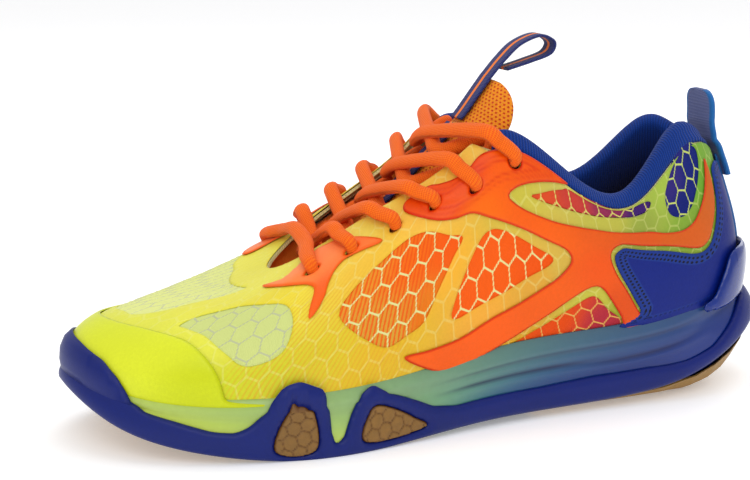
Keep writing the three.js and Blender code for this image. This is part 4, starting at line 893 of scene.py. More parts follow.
# The mesh seen through each window: ground colours and the colour of the net's lines
windowSets = {
    "toe": ([(8.2, .4, (214, 224, 138))], (186, 191, 150)),
    "vamp": ([(10.8, .6, (232, 238, 150))], (202, 206, 160)),
    "mid": ([(6.6, .35, (225, 160, 60)), (6.9, .6, (238, 150, 50)), (6.3, .6, (252, 112, 26)),
             (5.8, .6, (252, 96, 20)), (5.9, .3, (240, 120, 30)), (6.2, .25, (222, 170, 64))],
            (220, 222, 150)),
    "arrow": ([(5, .42, (252, 100, 25)), (4.4, .45, (246, 92, 28))], (226, 222, 150)),
    "arch": ([(4.6, .08, (250, 95, 20)), (4, .15, (238, 84, 30)), (3.3, .1, (186, 56, 70))], (226, 170, 90)),
    "collar": ([(4.5, .8, (228, 84, 46)), (4, .85, (206, 70, 60)), (3.5, .87, (150, 54, 90)),
                (2.9, .85, (66, 42, 116))], (214, 205, 110)),
    "heel": ([(2.2, .8, (60, 50, 126)), (1.8, .8, (24, 44, 122)), (2.1, .65, (30, 42, 118))],
             (198, 210, 110)),
    "medial": ([(14.8, .5, (246, 112, 34)), (14.3, .7, (250, 150, 50))], (222, 212, 120)),
    "medialCollar": ([(15.5, .8, (228, 84, 46)), (16.5, .87, (150, 54, 90)), (17.1, .85, (66, 42, 116))],
                     (214, 205, 110)),
    "medialHeel": ([(17.8, .8, (60, 50, 126)), (18.2, .8, (24, 44, 122))], (198, 210, 110))}
netInset = {"cell": .6, "inner": .06, "thick": .28, "rise": .34, "lap": 1.6}


def windowRelief(p, edge):  # the net stands up from the knit
    return hexNet(p, soft=.05) * netInset["rise"]


for key, (anchors, line) in windowSets.items():
    grown = windowCurves[key]
    centre = grown.mean(0)
    away = grown - centre
    grown = centre + away * (1 + netInset["lap"] / np.maximum(np.linalg.norm(away, axis=1, keepdims=True), 3))
    tint = blendOf(anchors)
    finish = makeWindowNet("net_" + key, rgb(*line), rgb(244, 90, 14) if key == "mid" else None)
    piece = makePanel("window_" + key, grown, [], netInset["inner"], netInset["thick"], finish,
                      cell=netInset["cell"], relief=windowRelief, tint=tint)
    p = patternOf(piece)
    setPoint(piece, "net", hexNet(p, soft=.05))
    setPoint(piece, "stripe", bumpAt(p[:, 0] / 32, 6.0, 7.2, .3) * .8 if key == "mid" else np.zeros(len(p)))
    settle(piece)
print("windows")

# Overlays fused over the film
neon = makeOverlay("neonFilm", rgb(188, 198, 28), .34)
capTint = blendOf([(8, .1, (206, 216, 40)), (9, .3, (222, 230, 56)), (10, .2, (220, 228, 54)),
                   (12, .25, (214, 224, 44)), (13.6, .5, (206, 216, 40))])


# no painted groove shade on this panel
def noCarveShade(o):
    setPoint(o, "carveShade", np.zeros(len(o.data.vertices)))
    return o


grooveSet = {"first": 12.35, "step": .34, "lean": .3, "low": .1, "high": .34, "rise": .075, "half": .55}


def guardGrooves(p):  # four slanted grooves in the guard over the medial ball
    s, h = p[:, 0] / 32, p[:, 1] / 90
    out = np.zeros(len(p))
    for k in range(4):
        middle = grooveSet["first"] + grooveSet["step"] * k
        away = (s - middle - grooveSet["lean"] * (h - .2) * 2) * 32
        ends = bumpAt(h, grooveSet["low"], grooveSet["high"] + grooveSet["rise"] * k, .05)
        out = np.maximum(out, np.exp(-(away / grooveSet["half"] / 1.6) ** 2) * ends)
    return out


cap = makePanel("toe_cap", roundedOutline(flat(toeCapEdge)), [], *layer["cap"], neon, cell=1.1, tint=capTint,
                edgeRound=1.6, relief=lambda p, edge: -.45 * guardGrooves(p))
# painted shade in the guard's four grooves
setPoint(cap, "carveShade", guardGrooves(patternOf(cap)))
settle(cap, stands=("toe_cap",))

wingTint = blendOf([(6.3, .9, (238, 82, 14)), (5.5, .9, (234, 78, 12)), (5.9, .78, (238, 84, 14)),
                    (5.1, .9, (246, 100, 18)), (4.6, .88, (236, 88, 24)), (4.2, .6, (244, 100, 26)),
                    (5.4, .66, (252, 112, 24)), (5.2, .12, (248, 98, 18)), (4.2, .32, (244, 98, 22)),
                    (3.5, .5, (236, 88, 26)), (3.2, .2, (226, 84, 30)), (3, .66, (220, 90, 40)),
                    (2.2, .5, (212, 96, 40)), (1.5, .6, (206, 100, 42)), (3.6, .72, (226, 92, 34))])
ridgeLine = roundedOutline(flat([[6.42, 91], [6.2, 80], [5.86, 74], [5.55, 73], [5.32, 75], [5.1, 78],
                                 [4.8, 80.5], [4.5, 86], [4.4, 89.6], [5.1, 88.4], [5.6, 86.4], [5.9, 86],
                                 [6.15, 89]]), 8)


def wingRelief(p, edge):  # two raised contour ridges round the upper eyelets
    d = measureTo(p, ridgeLine)[0]
    inner = np.exp(-((d + 1.0) / .55) ** 2) + .8 * np.exp(-((d + 3.0) / .6) ** 2)
    return inner * .3


wing = makePanel("lateral_wing", roundedOutline(flat(wingEdge)), lateralHoles[3:6], *layer["overlay"],
                 makeOverlay("orangeFilm", rgb(206, 48, 6), .4, .8), cell=.95, tint=wingTint,
                 relief=wingRelief, edgeRound=1.2)
p = patternOf(wing)
d = measureTo(p, ridgeLine)[0]
# painted shade in the valley between the two ridges and along the outer foot of the first
setPoint(wing, "carveShade", np.exp(-((d + 2.0) / .5) ** 2) * .9 + np.exp(-((d - .1) / .5) ** 2) * .6)
settle(wing, stands=("lateral_wing",))

salmonTint = blendOf([(8.2, .85, (255, 150, 92)), (7.6, .85, (255, 138, 78)), (7.2, .78, (250, 118, 50)),
                      (7.4, .6, (244, 96, 24)), (7.9, .72, (255, 132, 64)), (12, .85, (255, 140, 84)),
                      (13, .82, (250, 124, 60))])
salmon = makeOverlay("salmonFilm", rgb(240, 96, 34), .4, 1.4)
for name, edge, holes in (("lateral_lace_strap", laceStrapEdge, lateralHoles[:2]),
                          ("medial_lace_strap", medialStrapEdge, medialHoles[:3])):
    settle(noCarveShade(makePanel(name, roundedOutline(flat(edge)), holes, *layer["overlay"], salmon, cell=.95,
                             tint=salmonTint, edgeRound=1.2)), stands=(name,))
panelTint = blendOf([(13.6, .88, (238, 190, 70)), (14.6, .88, (236, 204, 78)), (15.9, .75, (212, 200, 84))])
panel = noCarveShade(makePanel("medial_collar_panel", roundedOutline(flat(medialPanelEdge)), medialHoles[3:],
                          *layer["overlay"], makeOverlay("collarFilm", rgb(202, 158, 44), .4, .8), cell=1.,
                          tint=panelTint))
settle(panel, stands=("medial_collar_panel",))

# Heel foxing, strap and cradle
foxingEdge = roundedOutline(flat(foxingHalf + [[-s, h] for s, h in foxingHalf][::-1]))
foxing = makePanel("heel_foxing", foxingEdge, [], *layer["cap"], makeFoxing("blueFilm"), cell=1.05,
                   edgeRound=1.2)
p = patternOf(foxing)
setPoint(foxing, "free", bumpAt(p[:, 1] / 90, .07, 9, .05))
settle(foxing, stands=("heel_foxing",))
strapCloth = makeWebbing("strapCloth", rgb(80, 90, 140), rgb(40, 48, 98), 1., edge=rgb(36, 96, 160))
strapEdge = flat([[-.42, 27], [-.42, 88], [.42, 88], [.42, 27]])
strap = makePanel("heel_strap", strapEdge, [], *layer["strap"], strapCloth, cell=.9, edgeRound=.6)
p = patternOf(strap)
setPoint(strap, "side", np.abs(p[:, 0]) / (.42 * 32))
settle(strap, stands=("heel_strap",))
cradleEdge = [
    [1.78, 101], [1.6, 107], [1.43, 118], [1.25, 127], [0.8, 128], [0, 126], [-0.8, 128], [-1.25, 127],
    [-1.43, 118], [-1.6, 107], [-1.78, 101], [-0.9, 80], [0, 78], [0.9, 80]]
cradle = makePanel("heel_cradle", roundedOutline(flat(cradleEdge, wallUnit)), [], *layer["cradle"],
                   makeRubber("cradleGloss", rgb(10, 52, 132), .22, coat=.4, grain=.1), cell=.8, face=onFlank,
                   scale=wallUnit, edgeRound=2.2)
settle(cradle, stands=("heel_cradle",))
print("overlays")

# The sole's rubber wall and its gum pods
wrapProfile = np.array([
    [0, .66], [.7, .62], [1.05, .53], [1.36, .37], [1.75, .22], [2.2, .23], [2.8, .33], [3.5, .36],
    [4.2, .33], [5.3, .35], [5.6, .46], [5.95, .8], [6.15, 1.0], [6.39, 1.07], [6.52, 1.03], [6.58, .9],
    [6.65, .22], [6.8, .22], [6.83, .93], [6.9, 1.08], [7.2, 1.14], [7.36, 1.12], [7.5, 1.0], [7.65, .63],
    [7.78, .48], [8.0, .47], [8.4, .6], [8.75, .66], [8.9, 1.02], [9.06, 1.1], [9.3, 1.16], [9.75, 1.19],
    [10.2, 1.2], [10.7, 1.17], [11.1, 1.04], [11.4, .7], [12.2, .5], [12.7, .55], [12.95, .98], [13.3, 1.06],
    [13.65, 1.0], [13.95, .5], [15, .36], [17, .34], [18.2, .24], [18.65, .38], [18.95, .53], [19.3, .62],
    [20, .66]])
openings = {"lateral_front": [[7.38, 14], [7.28, 96], [7.17, 102], [7.06, 99], [7.0, 85], [6.95, 14]],
            "lateral_rear": [[6.4, 14], [6.39, 66], [6.3, 80], [6.1, 65], [5.84, 38], [5.68, 14]],
            "medial": [[12.98, 14], [13.05, 82], [13.25, 92], [13.45, 82], [13.6, 14]]}
wallSet = {"inner": 2.8, "thick": 2.1, "bottom": -.04, "step": .35, "cell": .95}
fineStations = np.linspace(0, 20, 1601)
topLevel = np.interp(fineStations, wrapProfile[:, 0], wrapProfile[:, 1])
kernel = np.exp(-np.linspace(-2, 2, 13) ** 2)
lapped = np.concatenate([topLevel[-7:-1], topLevel, topLevel[1:7]])
topLevel = np.convolve(lapped, kernel / kernel.sum(), "valid")
fineStations, topLevel = np.r_[-.12, fineStations, 20.12], np.r_[topLevel[0], topLevel, topLevel[-1]]
lower = np.stack([fineStations[[0, *range(1, 1602, 8), -1]] * 32, np.full(203, wallSet["bottom"] * 20)], -1)
order = [len(fineStations) - 1, *range(1601, 0, -4), 0]
upper = np.stack([fineStations[order] * 32, topLevel[order] * 20], -1)
wallEdge = np.concatenate([lower, upper])
podHoles = [roundedOutline(flat(v, wallUnit), 6) for v in openings.values()]
blueRubber = makeRubber("blueRubber", rgb(0, 42, 112), .45, grain=.35)


def wallRelief(p, edge):  # the wall stands one step higher inside its rounded edges
    return wallSet["step"] * bumpAt(edge, 1.6, 60, 1.2)


wall = makePanel("sole_wrap", wallEdge, podHoles, wallSet["inner"], wallSet["thick"] - wallSet["step"],
                 blueRubber, cell=wallSet["cell"], face=onFlank, scale=wallUnit, relief=wallRelief,
                 edgeRound=1.4)
settle(wall, stands=("sole_wrap",))
gumMaterial = makeGum("gumRubber")
podNet = {"width": 4.6, "stretch": 1.25, "lean": 74., "half": .06}


def podRelief(p, edge):  # grooves between the tread's polygons
    return -.7 * hexNet(p, podNet, .05) * bumpAt(edge, .9, 90, .5)


for key, hole in zip(openings, podHoles):
    pod = makePanel("tread_pod_" + key, hole, [], wallSet["inner"] - .6, wallSet["thick"] - .1, gumMaterial,
                    cell=.5, face=onFlank, scale=wallUnit, edgeRound=.8, relief=podRelief)
    p = patternOf(pod)
    away = -measureTo(p, hole)[0]
    # painted shade in the grooves and in a band round the pod's rim, where it meets the wall's opening
    setPoint(pod, "grooveShade", np.maximum(hexNet(p, podNet, .08), 1 - np.clip(away / .8, 0, 1)))
    settle(pod, stands=("tread_pod_" + key,))


# Midsole: the CAD's block under a skin that carries the colour and the carved step
midTint = blendOf([(8.5, .05, (198, 214, 70)), (10, .05, (204, 218, 78)), (12, .05, (198, 214, 70)),
                   (6.7, .05, (196, 216, 92)), (6, .05, (178, 212, 96)), (5.75, .05, (140, 196, 106)),
                   (5.45, .05, (66, 156, 130)), (5.15, .05, (16, 108, 140)), (4.8, .05, (8, 76, 136)),
                   (4.5, .05, (8, 62, 130)), (4.1, .05, (6, 52, 124)),
                   (3.5, .05, (6, 48, 120)), (2.8, .05, (8, 46, 116)),
                   (2, .05, (16, 52, 126)), (1, .05, (14, 48, 120)), (0, .05, (14, 48, 120)),
                   (18, .05, (16, 52, 126)),
                   (16, .05, (34, 90, 150)), (15, .05, (70, 140, 130)), (14, .05, (180, 208, 96))], 2.2)
skinEdge = np.concatenate([np.stack([np.linspace(-.1, 20.1, 163) * 32, np.full(163, .02 * 20)], -1),
                           np.stack([np.linspace(20.1, -.1, 163) * 32, np.full(163, 1.06 * 20)], -1)])


def midRelief(p, edge):  # a groove along the band and a carved step above the arch
    level = p[:, 1] / 20
    s = p[:, 0] / 32
    folded = np.minimum(s, 20 - s)
    arch = bumpAt(folded, 2., 5.35, .9)
    swell = 1.25 * arch * bumpAt(level, .44, .98, .1)
    lines = np.exp(-((level - .6 - .03 * np.sin(s * 1.7)) / .035) ** 2) + np.exp(-((level - .84) / .03) ** 2)
    return swell * (1 - .85 * np.clip(lines, 0, 1)) - .3 * (1 - arch) * np.exp(-((level - .74) / .05) ** 2)


skin = makePanel("midsole_skin", skinEdge, [], .5, 2.15, makeMidsole("midsoleSkin"), cell=1.2, face=onFlank,
                 scale=wallUnit, tint=midTint, relief=midRelief, edgeRound=1.)
settle(skin)
p = patternOf(skin)
folded = np.minimum(p[:, 0] / 32, 20 - p[:, 0] / 32)
level = p[:, 1] / 20
lines = np.exp(-((level - .6 - .03 * np.sin(p[:, 0] / 32 * 1.7)) / .03) ** 2)
lines = lines + np.exp(-((level - .84) / .025) ** 2)
# painted shade in the two carved grooves above the arch
setPoint(skin, "carveShade", np.clip(lines, 0, 1) * bumpAt(folded, 2., 5.35, .9))


def makeMidsoleBlock():
    f = Finish("midsoleBlock", .4)
    px, _, _ = split(f.tree, f.object)
    f.colour(mixColour(f.tree, stepUp(f.tree, px, -.035, .02), rgb(180, 208, 84), rgb(12, 46, 118)))
    return f.material


wear("midsole", makeMidsoleBlock())
print("sole")


# Shells and straps laid out as grids of points
# A closed body between two grids of points, rows by columns, with its four edges joined.
def shellFrom(name, outer, inner, material, uv, floats=None, colours=None):
    rows, columns = outer.shape[:2]
    n = rows * columns
    i, j = np.arange(rows), np.arange(columns)
    ring = np.concatenate([i[:-1] * columns, (rows - 1) * columns + j[:-1],
                           i[:0:-1] * columns + columns - 1, j[:0:-1]])
    nextRing = np.roll(ring, -1)
    top = gridFaces(rows, columns)
    points = np.concatenate([outer.reshape(-1, 3), inner.reshape(-1, 3)])
    a, b = ring[0], nextRing[0]
    q = top[(top == a).any(1) & (top == b).any(1)][0]
    if q[(int(np.where(q == a)[0][0]) + 1) % 4] == b:  # sides run against the top's own winding
        ring, nextRing = nextRing, ring
    side = np.stack([ring, nextRing, nextRing + n, ring + n], 1)
    faces = faceOut(points, [top, top[:, ::-1] + n, side])
    twice = {key: np.concatenate([v.ravel()] * 2) for key, v in (floats or {}).items()}
    tints = {key: np.concatenate([v.reshape(-1, 3)] * 2) for key, v in (colours or {}).items()}
    return fillMesh(name, points, faces, material, np.concatenate([uv.reshape(-1, 2)] * 2), twice, tints)


def catmull(points, count, uniform=False):  # smooth open curve, evenly spaced
    p = np.asarray(points, float)
    ends = np.concatenate([[2 * p[0] - p[1]], p, [2 * p[-1] - p[-2]]])
    t = np.linspace(0, len(p) - 1 - 1e-9, max(count * 3, len(p) * 8))
    i = np.floor(t).astype(int)
    w = (t - i)[:, None]
    a, b, c, d = ends[i], ends[i + 1], ends[i + 2], ends[i + 3]
    q = .5 * (2 * b + (c - a) * w + (2 * a - 5 * b + 4 * c - d) * w ** 2 + (3 * b - a - 3 * c + d) * w ** 3)
    if uniform:
        return q
    run = np.concatenate([[0], np.cumsum(np.linalg.norm(np.diff(q, axis=0), axis=1))])
    want = np.linspace(0, run[-1], count)
    return np.stack([np.interp(want, run, q[:, k]) for k in range(q.shape[1])], -1)


# collar: over the roll and down inside the heel to the sockliner
collarSet = {"end": 5.25, "columns": 230, "rows": 46, "roll": 2.6, "heelRoll": 4.6, "foam": 6.6, "thin": 2.4,
             "wall": .8}


def makeCollar(cfg):
    s = np.linspace(-cfg["end"], cfg["end"], cfg["columns"])
    heel = 1 - np.clip((np.abs(s) - 2.4) / 2.2, 0, 1)
    heel = heel * heel * (3 - 2 * heel)
    r = cfg["roll"] + (cfg["heelRoll"] - cfg["roll"]) * heel
    sm = np.mod(s, 20)
    one = np.ones_like(s)
    top = onUpper(sm, one, -r)
    top[:, 2] -= cfg["roll"] + (r - cfg["roll"]) * .35
    out = -unit((onUpper(sm, one, -1.) - onUpper(sm, one, 0.)) * np.array([1, 1, 0]))
    up = np.array([0, 0, 1.])
    depth = cfg["thin"] + 1.6 + (cfg["foam"] - cfg["thin"]) * heel
    rows = [onUpper(sm, one * .905, .05), onUpper(sm, one * .93, .3)]
    for turn in (8, 40, 75, 110, 145, 178):
        a = math.radians(turn)
        rows.append(top + out * (r * math.cos(a))[:, None] + up * (r * math.sin(a))[:, None])
    for h, share in ((.84, 1.), (.7, 1.), (.56, .95), (.44, .62), (.32, .4), (.18, .4), (.08, .4)):
        rows.append(onUpper(sm, one * h, -(3. + (depth - 1.2) * share)))
    rows = np.array(rows)
    line = catmull(rows.reshape(len(rows), -1), 10, True)
    line = line.reshape(len(line), cfg["columns"], 3)
    run = np.concatenate([np.zeros((1, cfg["columns"])),
                          np.cumsum(np.linalg.norm(np.diff(line, axis=0), axis=2), 0)])
    grid = np.empty((cfg["rows"], cfg["columns"], 3))
    for j in range(cfg["columns"]):
        want = np.linspace(0, run[-1, j], cfg["rows"])
        for k in range(3):
            grid[:, j, k] = np.interp(want, run[:, j], line[:, j, k])
    along = np.concatenate([[0], np.cumsum(np.linalg.norm(np.diff(grid[8], axis=0), axis=1))])
    normal = unit(np.cross(np.gradient(grid, axis=0), np.gradient(grid, axis=1)))
    side = np.sign((normal[4] * up).sum(-1).mean())
    inner = grid - normal * side * cfg["wall"]
    down = np.linspace(0, run[-1].mean(), cfg["rows"])
    uv = np.stack(np.broadcast_arrays(along[None, :], down[:, None]), -1)
    share = np.linspace(0, 1, cfg["rows"])[:, None]
    # painted shade: the collar's blue darkens to navy as it turns over the roll and runs down inside the heel
    insideShade = np.clip((share - .2) / .3, 0, 1)[..., None]
    tints = lin(4, 66, 150) * (1 - insideShade) + lin(2, 12, 62) * insideShade + 0 * grid
    return shellFrom("collar", grid, inner, makeCollarKnit("collarKnit"), uv, None, {"tint": tints})


def makeCollarKnit(name):
    f = Finish(name, .85, sheen=.08, specular=.2)
    t = f.tree
    px, py, _ = split(t, f.uv)
    rib = calc(t, "SINE", calc(t, "MULTIPLY", px, 2 * math.pi / 1.25))
    rib = calc(t, "ADD", calc(t, "MULTIPLY", rib, .5), .5)
    loops = f.group(weaveGroup, Flat=f.uv, Across=1.25, Up=.9, Slant=0.)
    shade = calc(t, "ADD", calc(t, "MULTIPLY", rib, .7), calc(t, "MULTIPLY", loops, .3))
    dark = mixColour(t, 1., f.tint(), (.45, .45, .5, 1.), "MULTIPLY")
    f.colour(mixColour(t, shade, dark, f.tint()))
    f.bump(shade, .0005, .8)
    return f.material


collar = makeCollar(collarSet)
settle(collar, stands=("collar_foam", "collar_lining", "collar_binding"))
print("collar")

# Tongue, webbing and pulls
tongueLine = catmull([[-82, 2, 42], [-62, 2.5, 53], [-40, 3, 67.5], [-20, 4, 82], [-3, 4.5, 97],
                      [9, 4.5, 108.5], [18, 4.5, 118], [25, 5, 126.5], [30.5, 5, 133.5]], 400)
tongueWidths = np.array([[0, 34], [.3, 42], [.62, 48], [.85, 50], [.96, 46], [1, 32]], float)
tongueSet = {"thick": 3.4, "arch": 26., "fold": .85, "foldGap": .003, "columns": 44, "edge": 1.5,
             "length": 146, "flapHalf": 25.2, "cornerAt": .885, "corner": .118,
             "rowPitch": 5.2, "rowDepth": .35}
tongueShares = np.linspace(0, 1, 400)
tongueTangent = unit(np.gradient(tongueLine, axis=0))


# A point on the arched tongue: share t along it, across in mm, depth below its top.
def onTongue(t, across, depth):
    t, across, depth = np.broadcast_arrays(*(np.asarray(x, float) for x in (t, across, depth)))
    middle = np.stack([np.interp(t, tongueShares, tongueLine[:, k]) for k in range(3)], -1)
    forward = np.stack([np.interp(t, tongueShares, tongueTangent[:, k]) for k in range(3)], -1)
    down = unit(np.stack([forward[..., 2], 0 * t, -forward[..., 0]], -1))
    turn = across / tongueSet["arch"]
    radius = tongueSet["arch"] - depth
    out = middle + down * (tongueSet["arch"] - radius * np.cos(turn))[..., None]
    out[..., 1] += radius * np.sin(turn)
    return out


def makeTongue(name, low, high, rows, material):
    t = np.linspace(low, high, rows)[:, None]
    q = np.linspace(-1, 1, tongueSet["columns"])[None, :]
    q = np.sign(q) * (1 - (1 - np.abs(q)) ** 1.3)
    half = np.interp(t, tongueWidths[:, 0], tongueWidths[:, 1]) / 2
    if high == 1:
        corner = np.clip((t - tongueSet["cornerAt"]) / tongueSet["corner"], 0, 1)
        half = tongueSet["flapHalf"] * (1 - corner ** 2) ** .36
    width = q * half
    fromEdge = half * (1 - np.abs(q))
    if high == 1:
        fromEdge = np.minimum(fromEdge, (1 - t) * tongueSet["length"])
    fall = np.clip(fromEdge / tongueSet["edge"], 0, 1)
    roundOff = (1 - np.sqrt(1 - (1 - fall) ** 2)) * tongueSet["thick"] * .5
    rowWave = np.sin(t * tongueSet["length"] / tongueSet["rowPitch"] * math.pi) ** 2
    quilt = .5 * rowWave * np.clip(fromEdge / 4 - .6, 0, 1) * tongueSet["rowDepth"]
    outer = onTongue(t, width, roundOff + .35 - quilt)
    inner = onTongue(t, width, tongueSet["thick"] - roundOff)
    uv = np.stack(np.broadcast_arrays(width, t * 146.2), -1)
    return shellFrom(name, outer, inner, material, uv)


tongueMesh = makeTongueMesh("tongueMesh")
foldAt = tongueSet["fold"]
tongue = makeTongue("tongue_body", 0, foldAt - tongueSet["foldGap"] / 2, 150, tongueMesh)
settle(tongue, stands=("tongue",))
flap = makeTongue("tongue_flap_body", foldAt, 1, 40, tongueMesh)
settle(flap, "tongue_flap", ("tongue_flap",))


gussetSet = {"from": 5.75, "to": 14.25, "columns": 90, "rows": 12, "wall": .6, "height": .93, "under": -3.,
             "seam": .86, "depth": .9, "swell": .8}


# The thin bellows between the throat's edge and the sides of the tongue.
def makeGusset(cfg):
    s = np.linspace(cfg["from"], cfg["to"], cfg["columns"])
    v = np.linspace(0, 1, cfg["rows"])
    throat = onUpper(s, np.full_like(s, cfg["height"]), cfg["under"])
    share = np.interp(throat[:, 0] - 6 * np.exp(-((s - 10) / 1.2) ** 2), tongueLine[:, 0], tongueShares)
    half = np.interp(share, tongueWidths[:, 0], tongueWidths[:, 1]) / 2
    side = np.clip((s - 10) / 1.4, -1, 1) * half * cfg["seam"]
    inner = onTongue(share, side, cfg["depth"])
    line = throat[None] + (inner - throat)[None] * v[:, None, None]
    line[..., 2] += np.sin(v * math.pi)[:, None] * cfg["swell"]
    uv = np.stack(np.broadcast_arrays((s * 32)[None, :], (v * 14)[:, None]), -1)
    low = line - np.array([0, 0, cfg["wall"]])
    tint = np.broadcast_to(lin(248, 140, 34), line.shape)
    return shellFrom("throat_gusset", line, low, makeGussetMesh("gussetMesh"), uv, None, {"tint": tint})


def makeGussetMesh(name):
    f = Finish(name, .7, sheen=.2)
    t = f.tree
    knit = f.group(weaveGroup, Flat=f.uv, Across=1.3, Up=1.3, Slant=.5)
    f.colour(mixColour(t, calc(t, "MULTIPLY", knit, .5), f.tint(), rgb(228, 84, 14)))
    f.bump(knit, .0003, .6)
    return f.material


gusset = makeGusset(gussetSet)
settle(gusset)


# A flat strap along a line of points, its edges rounded, with mm coordinates along and across.
def ribbon(name, line, width, thick, material, rows, columns=14, tip=0.):
    c = catmull(line, rows)
    along = unit(np.gradient(c, axis=0))
    over = unit(np.cross(along, [0, 1., 0]))
    across = unit(np.cross(over, along))
    q = np.linspace(-1, 1, columns)
    q = np.sign(q) * (1 - (1 - np.abs(q)) ** 1.5)
    edge = np.clip((1 - np.abs(q)) * width / 2 / (thick * .6), 0, 1)
    deep = thick / 2 * np.sqrt(np.clip(1 - (1 - edge) ** 2, .12, 1))
    left = np.linspace(np.linalg.norm(np.diff(c, axis=0), axis=1).sum(), 0, rows)
    narrow = tip * (1 - np.sqrt(np.clip(1 - (1 - np.clip(left / tip, 0, 1)) ** 2, 0, 1))) if tip else 0 * left
    half = width / 2 - narrow
    base = c[:, None, :] + across[:, None, :] * (q[None, :] * half[:, None])[:, :, None]
    shift = over[:, None, :] * deep[None, :, None]
    run = np.concatenate([[0], np.cumsum(np.linalg.norm(np.diff(c, axis=0), axis=1))])
    uv = np.stack(np.broadcast_arrays(run[:, None], (q * width / 2)[None, :]), -1)
    sides = np.broadcast_to(np.abs(q)[None, :], uv.shape[:2])
    return shellFrom(name, base + shift, base - shift, material, uv, {"side": sides})


navy = makeWebbing("navyWebbing", rgb(56, 66, 128), rgb(26, 32, 76), .8, centre=rgb(246, 126, 24))
webbingSet = {"width": 11., "thick": 1.2, "above": .3, "from": .505, "seam": .015}


def webbingLine(low, high, count=40):
    return onTongue(np.linspace(low, high, count), 0., -webbingSet["above"] - webbingSet["thick"] / 2)


webbing = ribbon("tongue_webbing_strap", webbingLine(webbingSet["from"], foldAt - webbingSet["seam"]),
                 webbingSet["width"], webbingSet["thick"], navy, rows=90)
settle(webbing, stands=("tongue_webbing",))
flapWebbing = ribbon("flap_webbing_strap", webbingLine(foldAt + tongueSet["foldGap"], 1., 12),
                     webbingSet["width"], webbingSet["thick"], navy, rows=26)
settle(flapWebbing, "tongue_flap", ("flap_webbing",))
loopPoints = [[29.3, 5, 133.4], [36, 5.2, 140.6], [44, 7, 146.5], [53.5, 8, 149.4], [59, 7.4, 146.6],
              [57, 6.4, 142.2], [48, 5.4, 139.4], [37, 5, 136.6]]
loop = ribbon("tongue_loop_strap", loopPoints, webbingSet["width"], webbingSet["thick"], navy, rows=120)
settle(loop, "tongue_loop", ("tongue_loop",))

tabSet = {"width": 22., "thick": 2.2, "rise": 21., "bulge": .8, "corner": 6.}
foot = onUpper(np.array(0.), np.array(1.), 0.)
share = np.linspace(0, 1, 9)
tabBend = np.sin(share * math.pi) * tabSet["bulge"]
tabLine = np.stack([foot[0] + 1.6 - 2.2 * np.clip(share * 3, 0, 1) + tabBend, 0 * share + foot[1],
                    foot[2] + .3 + share * (tabSet["rise"] - .3)], -1)
seat = onUpper(np.zeros(4), np.array([.76, .83, .9, .96]), np.array([4.2, 4.1, 3.6, 3.]))
tabCloth = makeWebbing("tabCloth", rgb(112, 122, 168), rgb(62, 72, 126), 1., edge=rgb(40, 104, 170))
tab = ribbon("heel_tab_strap", np.concatenate([seat, tabLine]), tabSet["width"], tabSet["thick"], tabCloth,
             rows=90, columns=26, tip=tabSet["corner"])
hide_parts("heel_tab")
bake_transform(tab)
print("tongue and pulls")

# Lacing: the same route as the CAD's, its points kept in step with the eyelets
laceSet = {"outside": 4.4, "inside": -4.3, "runUp": .05, "bend": 1.6,
           "lag": .0045, "aside": .25, "low": 3.9, "high": 7.1, "side": 11., "sideLift": .4, "sideShare": .35,
           "crossingX": [-43, -30, -17, -5, 8], "radius": 2.3, "wide": 3.2, "hole": 2.35, "sides": 16,
           "rows": 1500}


def throughEyelet(s, h, cfg):
    h = h / 100
    lean = math.copysign(cfg["aside"], 10 - s)
    rows = [(s + lean * 2, 1, cfg["outside"] + .3), (s + lean, h + (1 - h) / 2, cfg["outside"] + .2),
            (s + lean * .15, h + .024, cfg["outside"] - .3), (s, h + cfg["lag"], 1.2),
            (s, h + cfg["lag"], -1.2), (s, h + .03, cfg["inside"] + .3),
            (s, h + cfg["runUp"], cfg["inside"] - cfg["bend"])]
    a = np.array(rows, float)
    narrow = [0, 0, .35, 1, 1, .6, .2]
    points = onUpper(a[:, 0], a[:, 1], a[:, 2])
    over = unit(onUpper(a[:, 0], a[:, 1], a[:, 2] + 1) - points)
    return list(zip(points, narrow, over))


def laceHalf(first, second, lifts, cfg):
    points = throughEyelet(*first[0], cfg)
    for row in range(1, len(first)):
        a, b = (first, second) if row % 2 else (second, first)
        s = a[row - 1][0]
        side = math.copysign(cfg["side"], s - 10)
        x, lift = cfg["crossingX"][row - 1], lifts[row - 1]
        lean = math.copysign(cfg["aside"], 10 - s)
        low, high = (onUpper(s - lean, .985, cfg["inside"] - cfg["bend"] + k) for k in (0, 1))
        points.append((low, 0, unit(high - low)))
        shares = [float(np.interp(v, tongueLine[:, 0], tongueShares)) for v in (x - 2, x)]
        sideRise = cfg["low"] + cfg["sideLift"] + (lift - cfg["low"]) * cfg["sideShare"]
        for share, across, rise in ((shares[0], side, sideRise), (shares[1], 0., lift)):
            at = onTongue(share, across, -rise)
            points.append((at, 0, unit(onTongue(share, across, -rise - 1) - at)))
        points += throughEyelet(*b[row], cfg)
    return points[:-1]


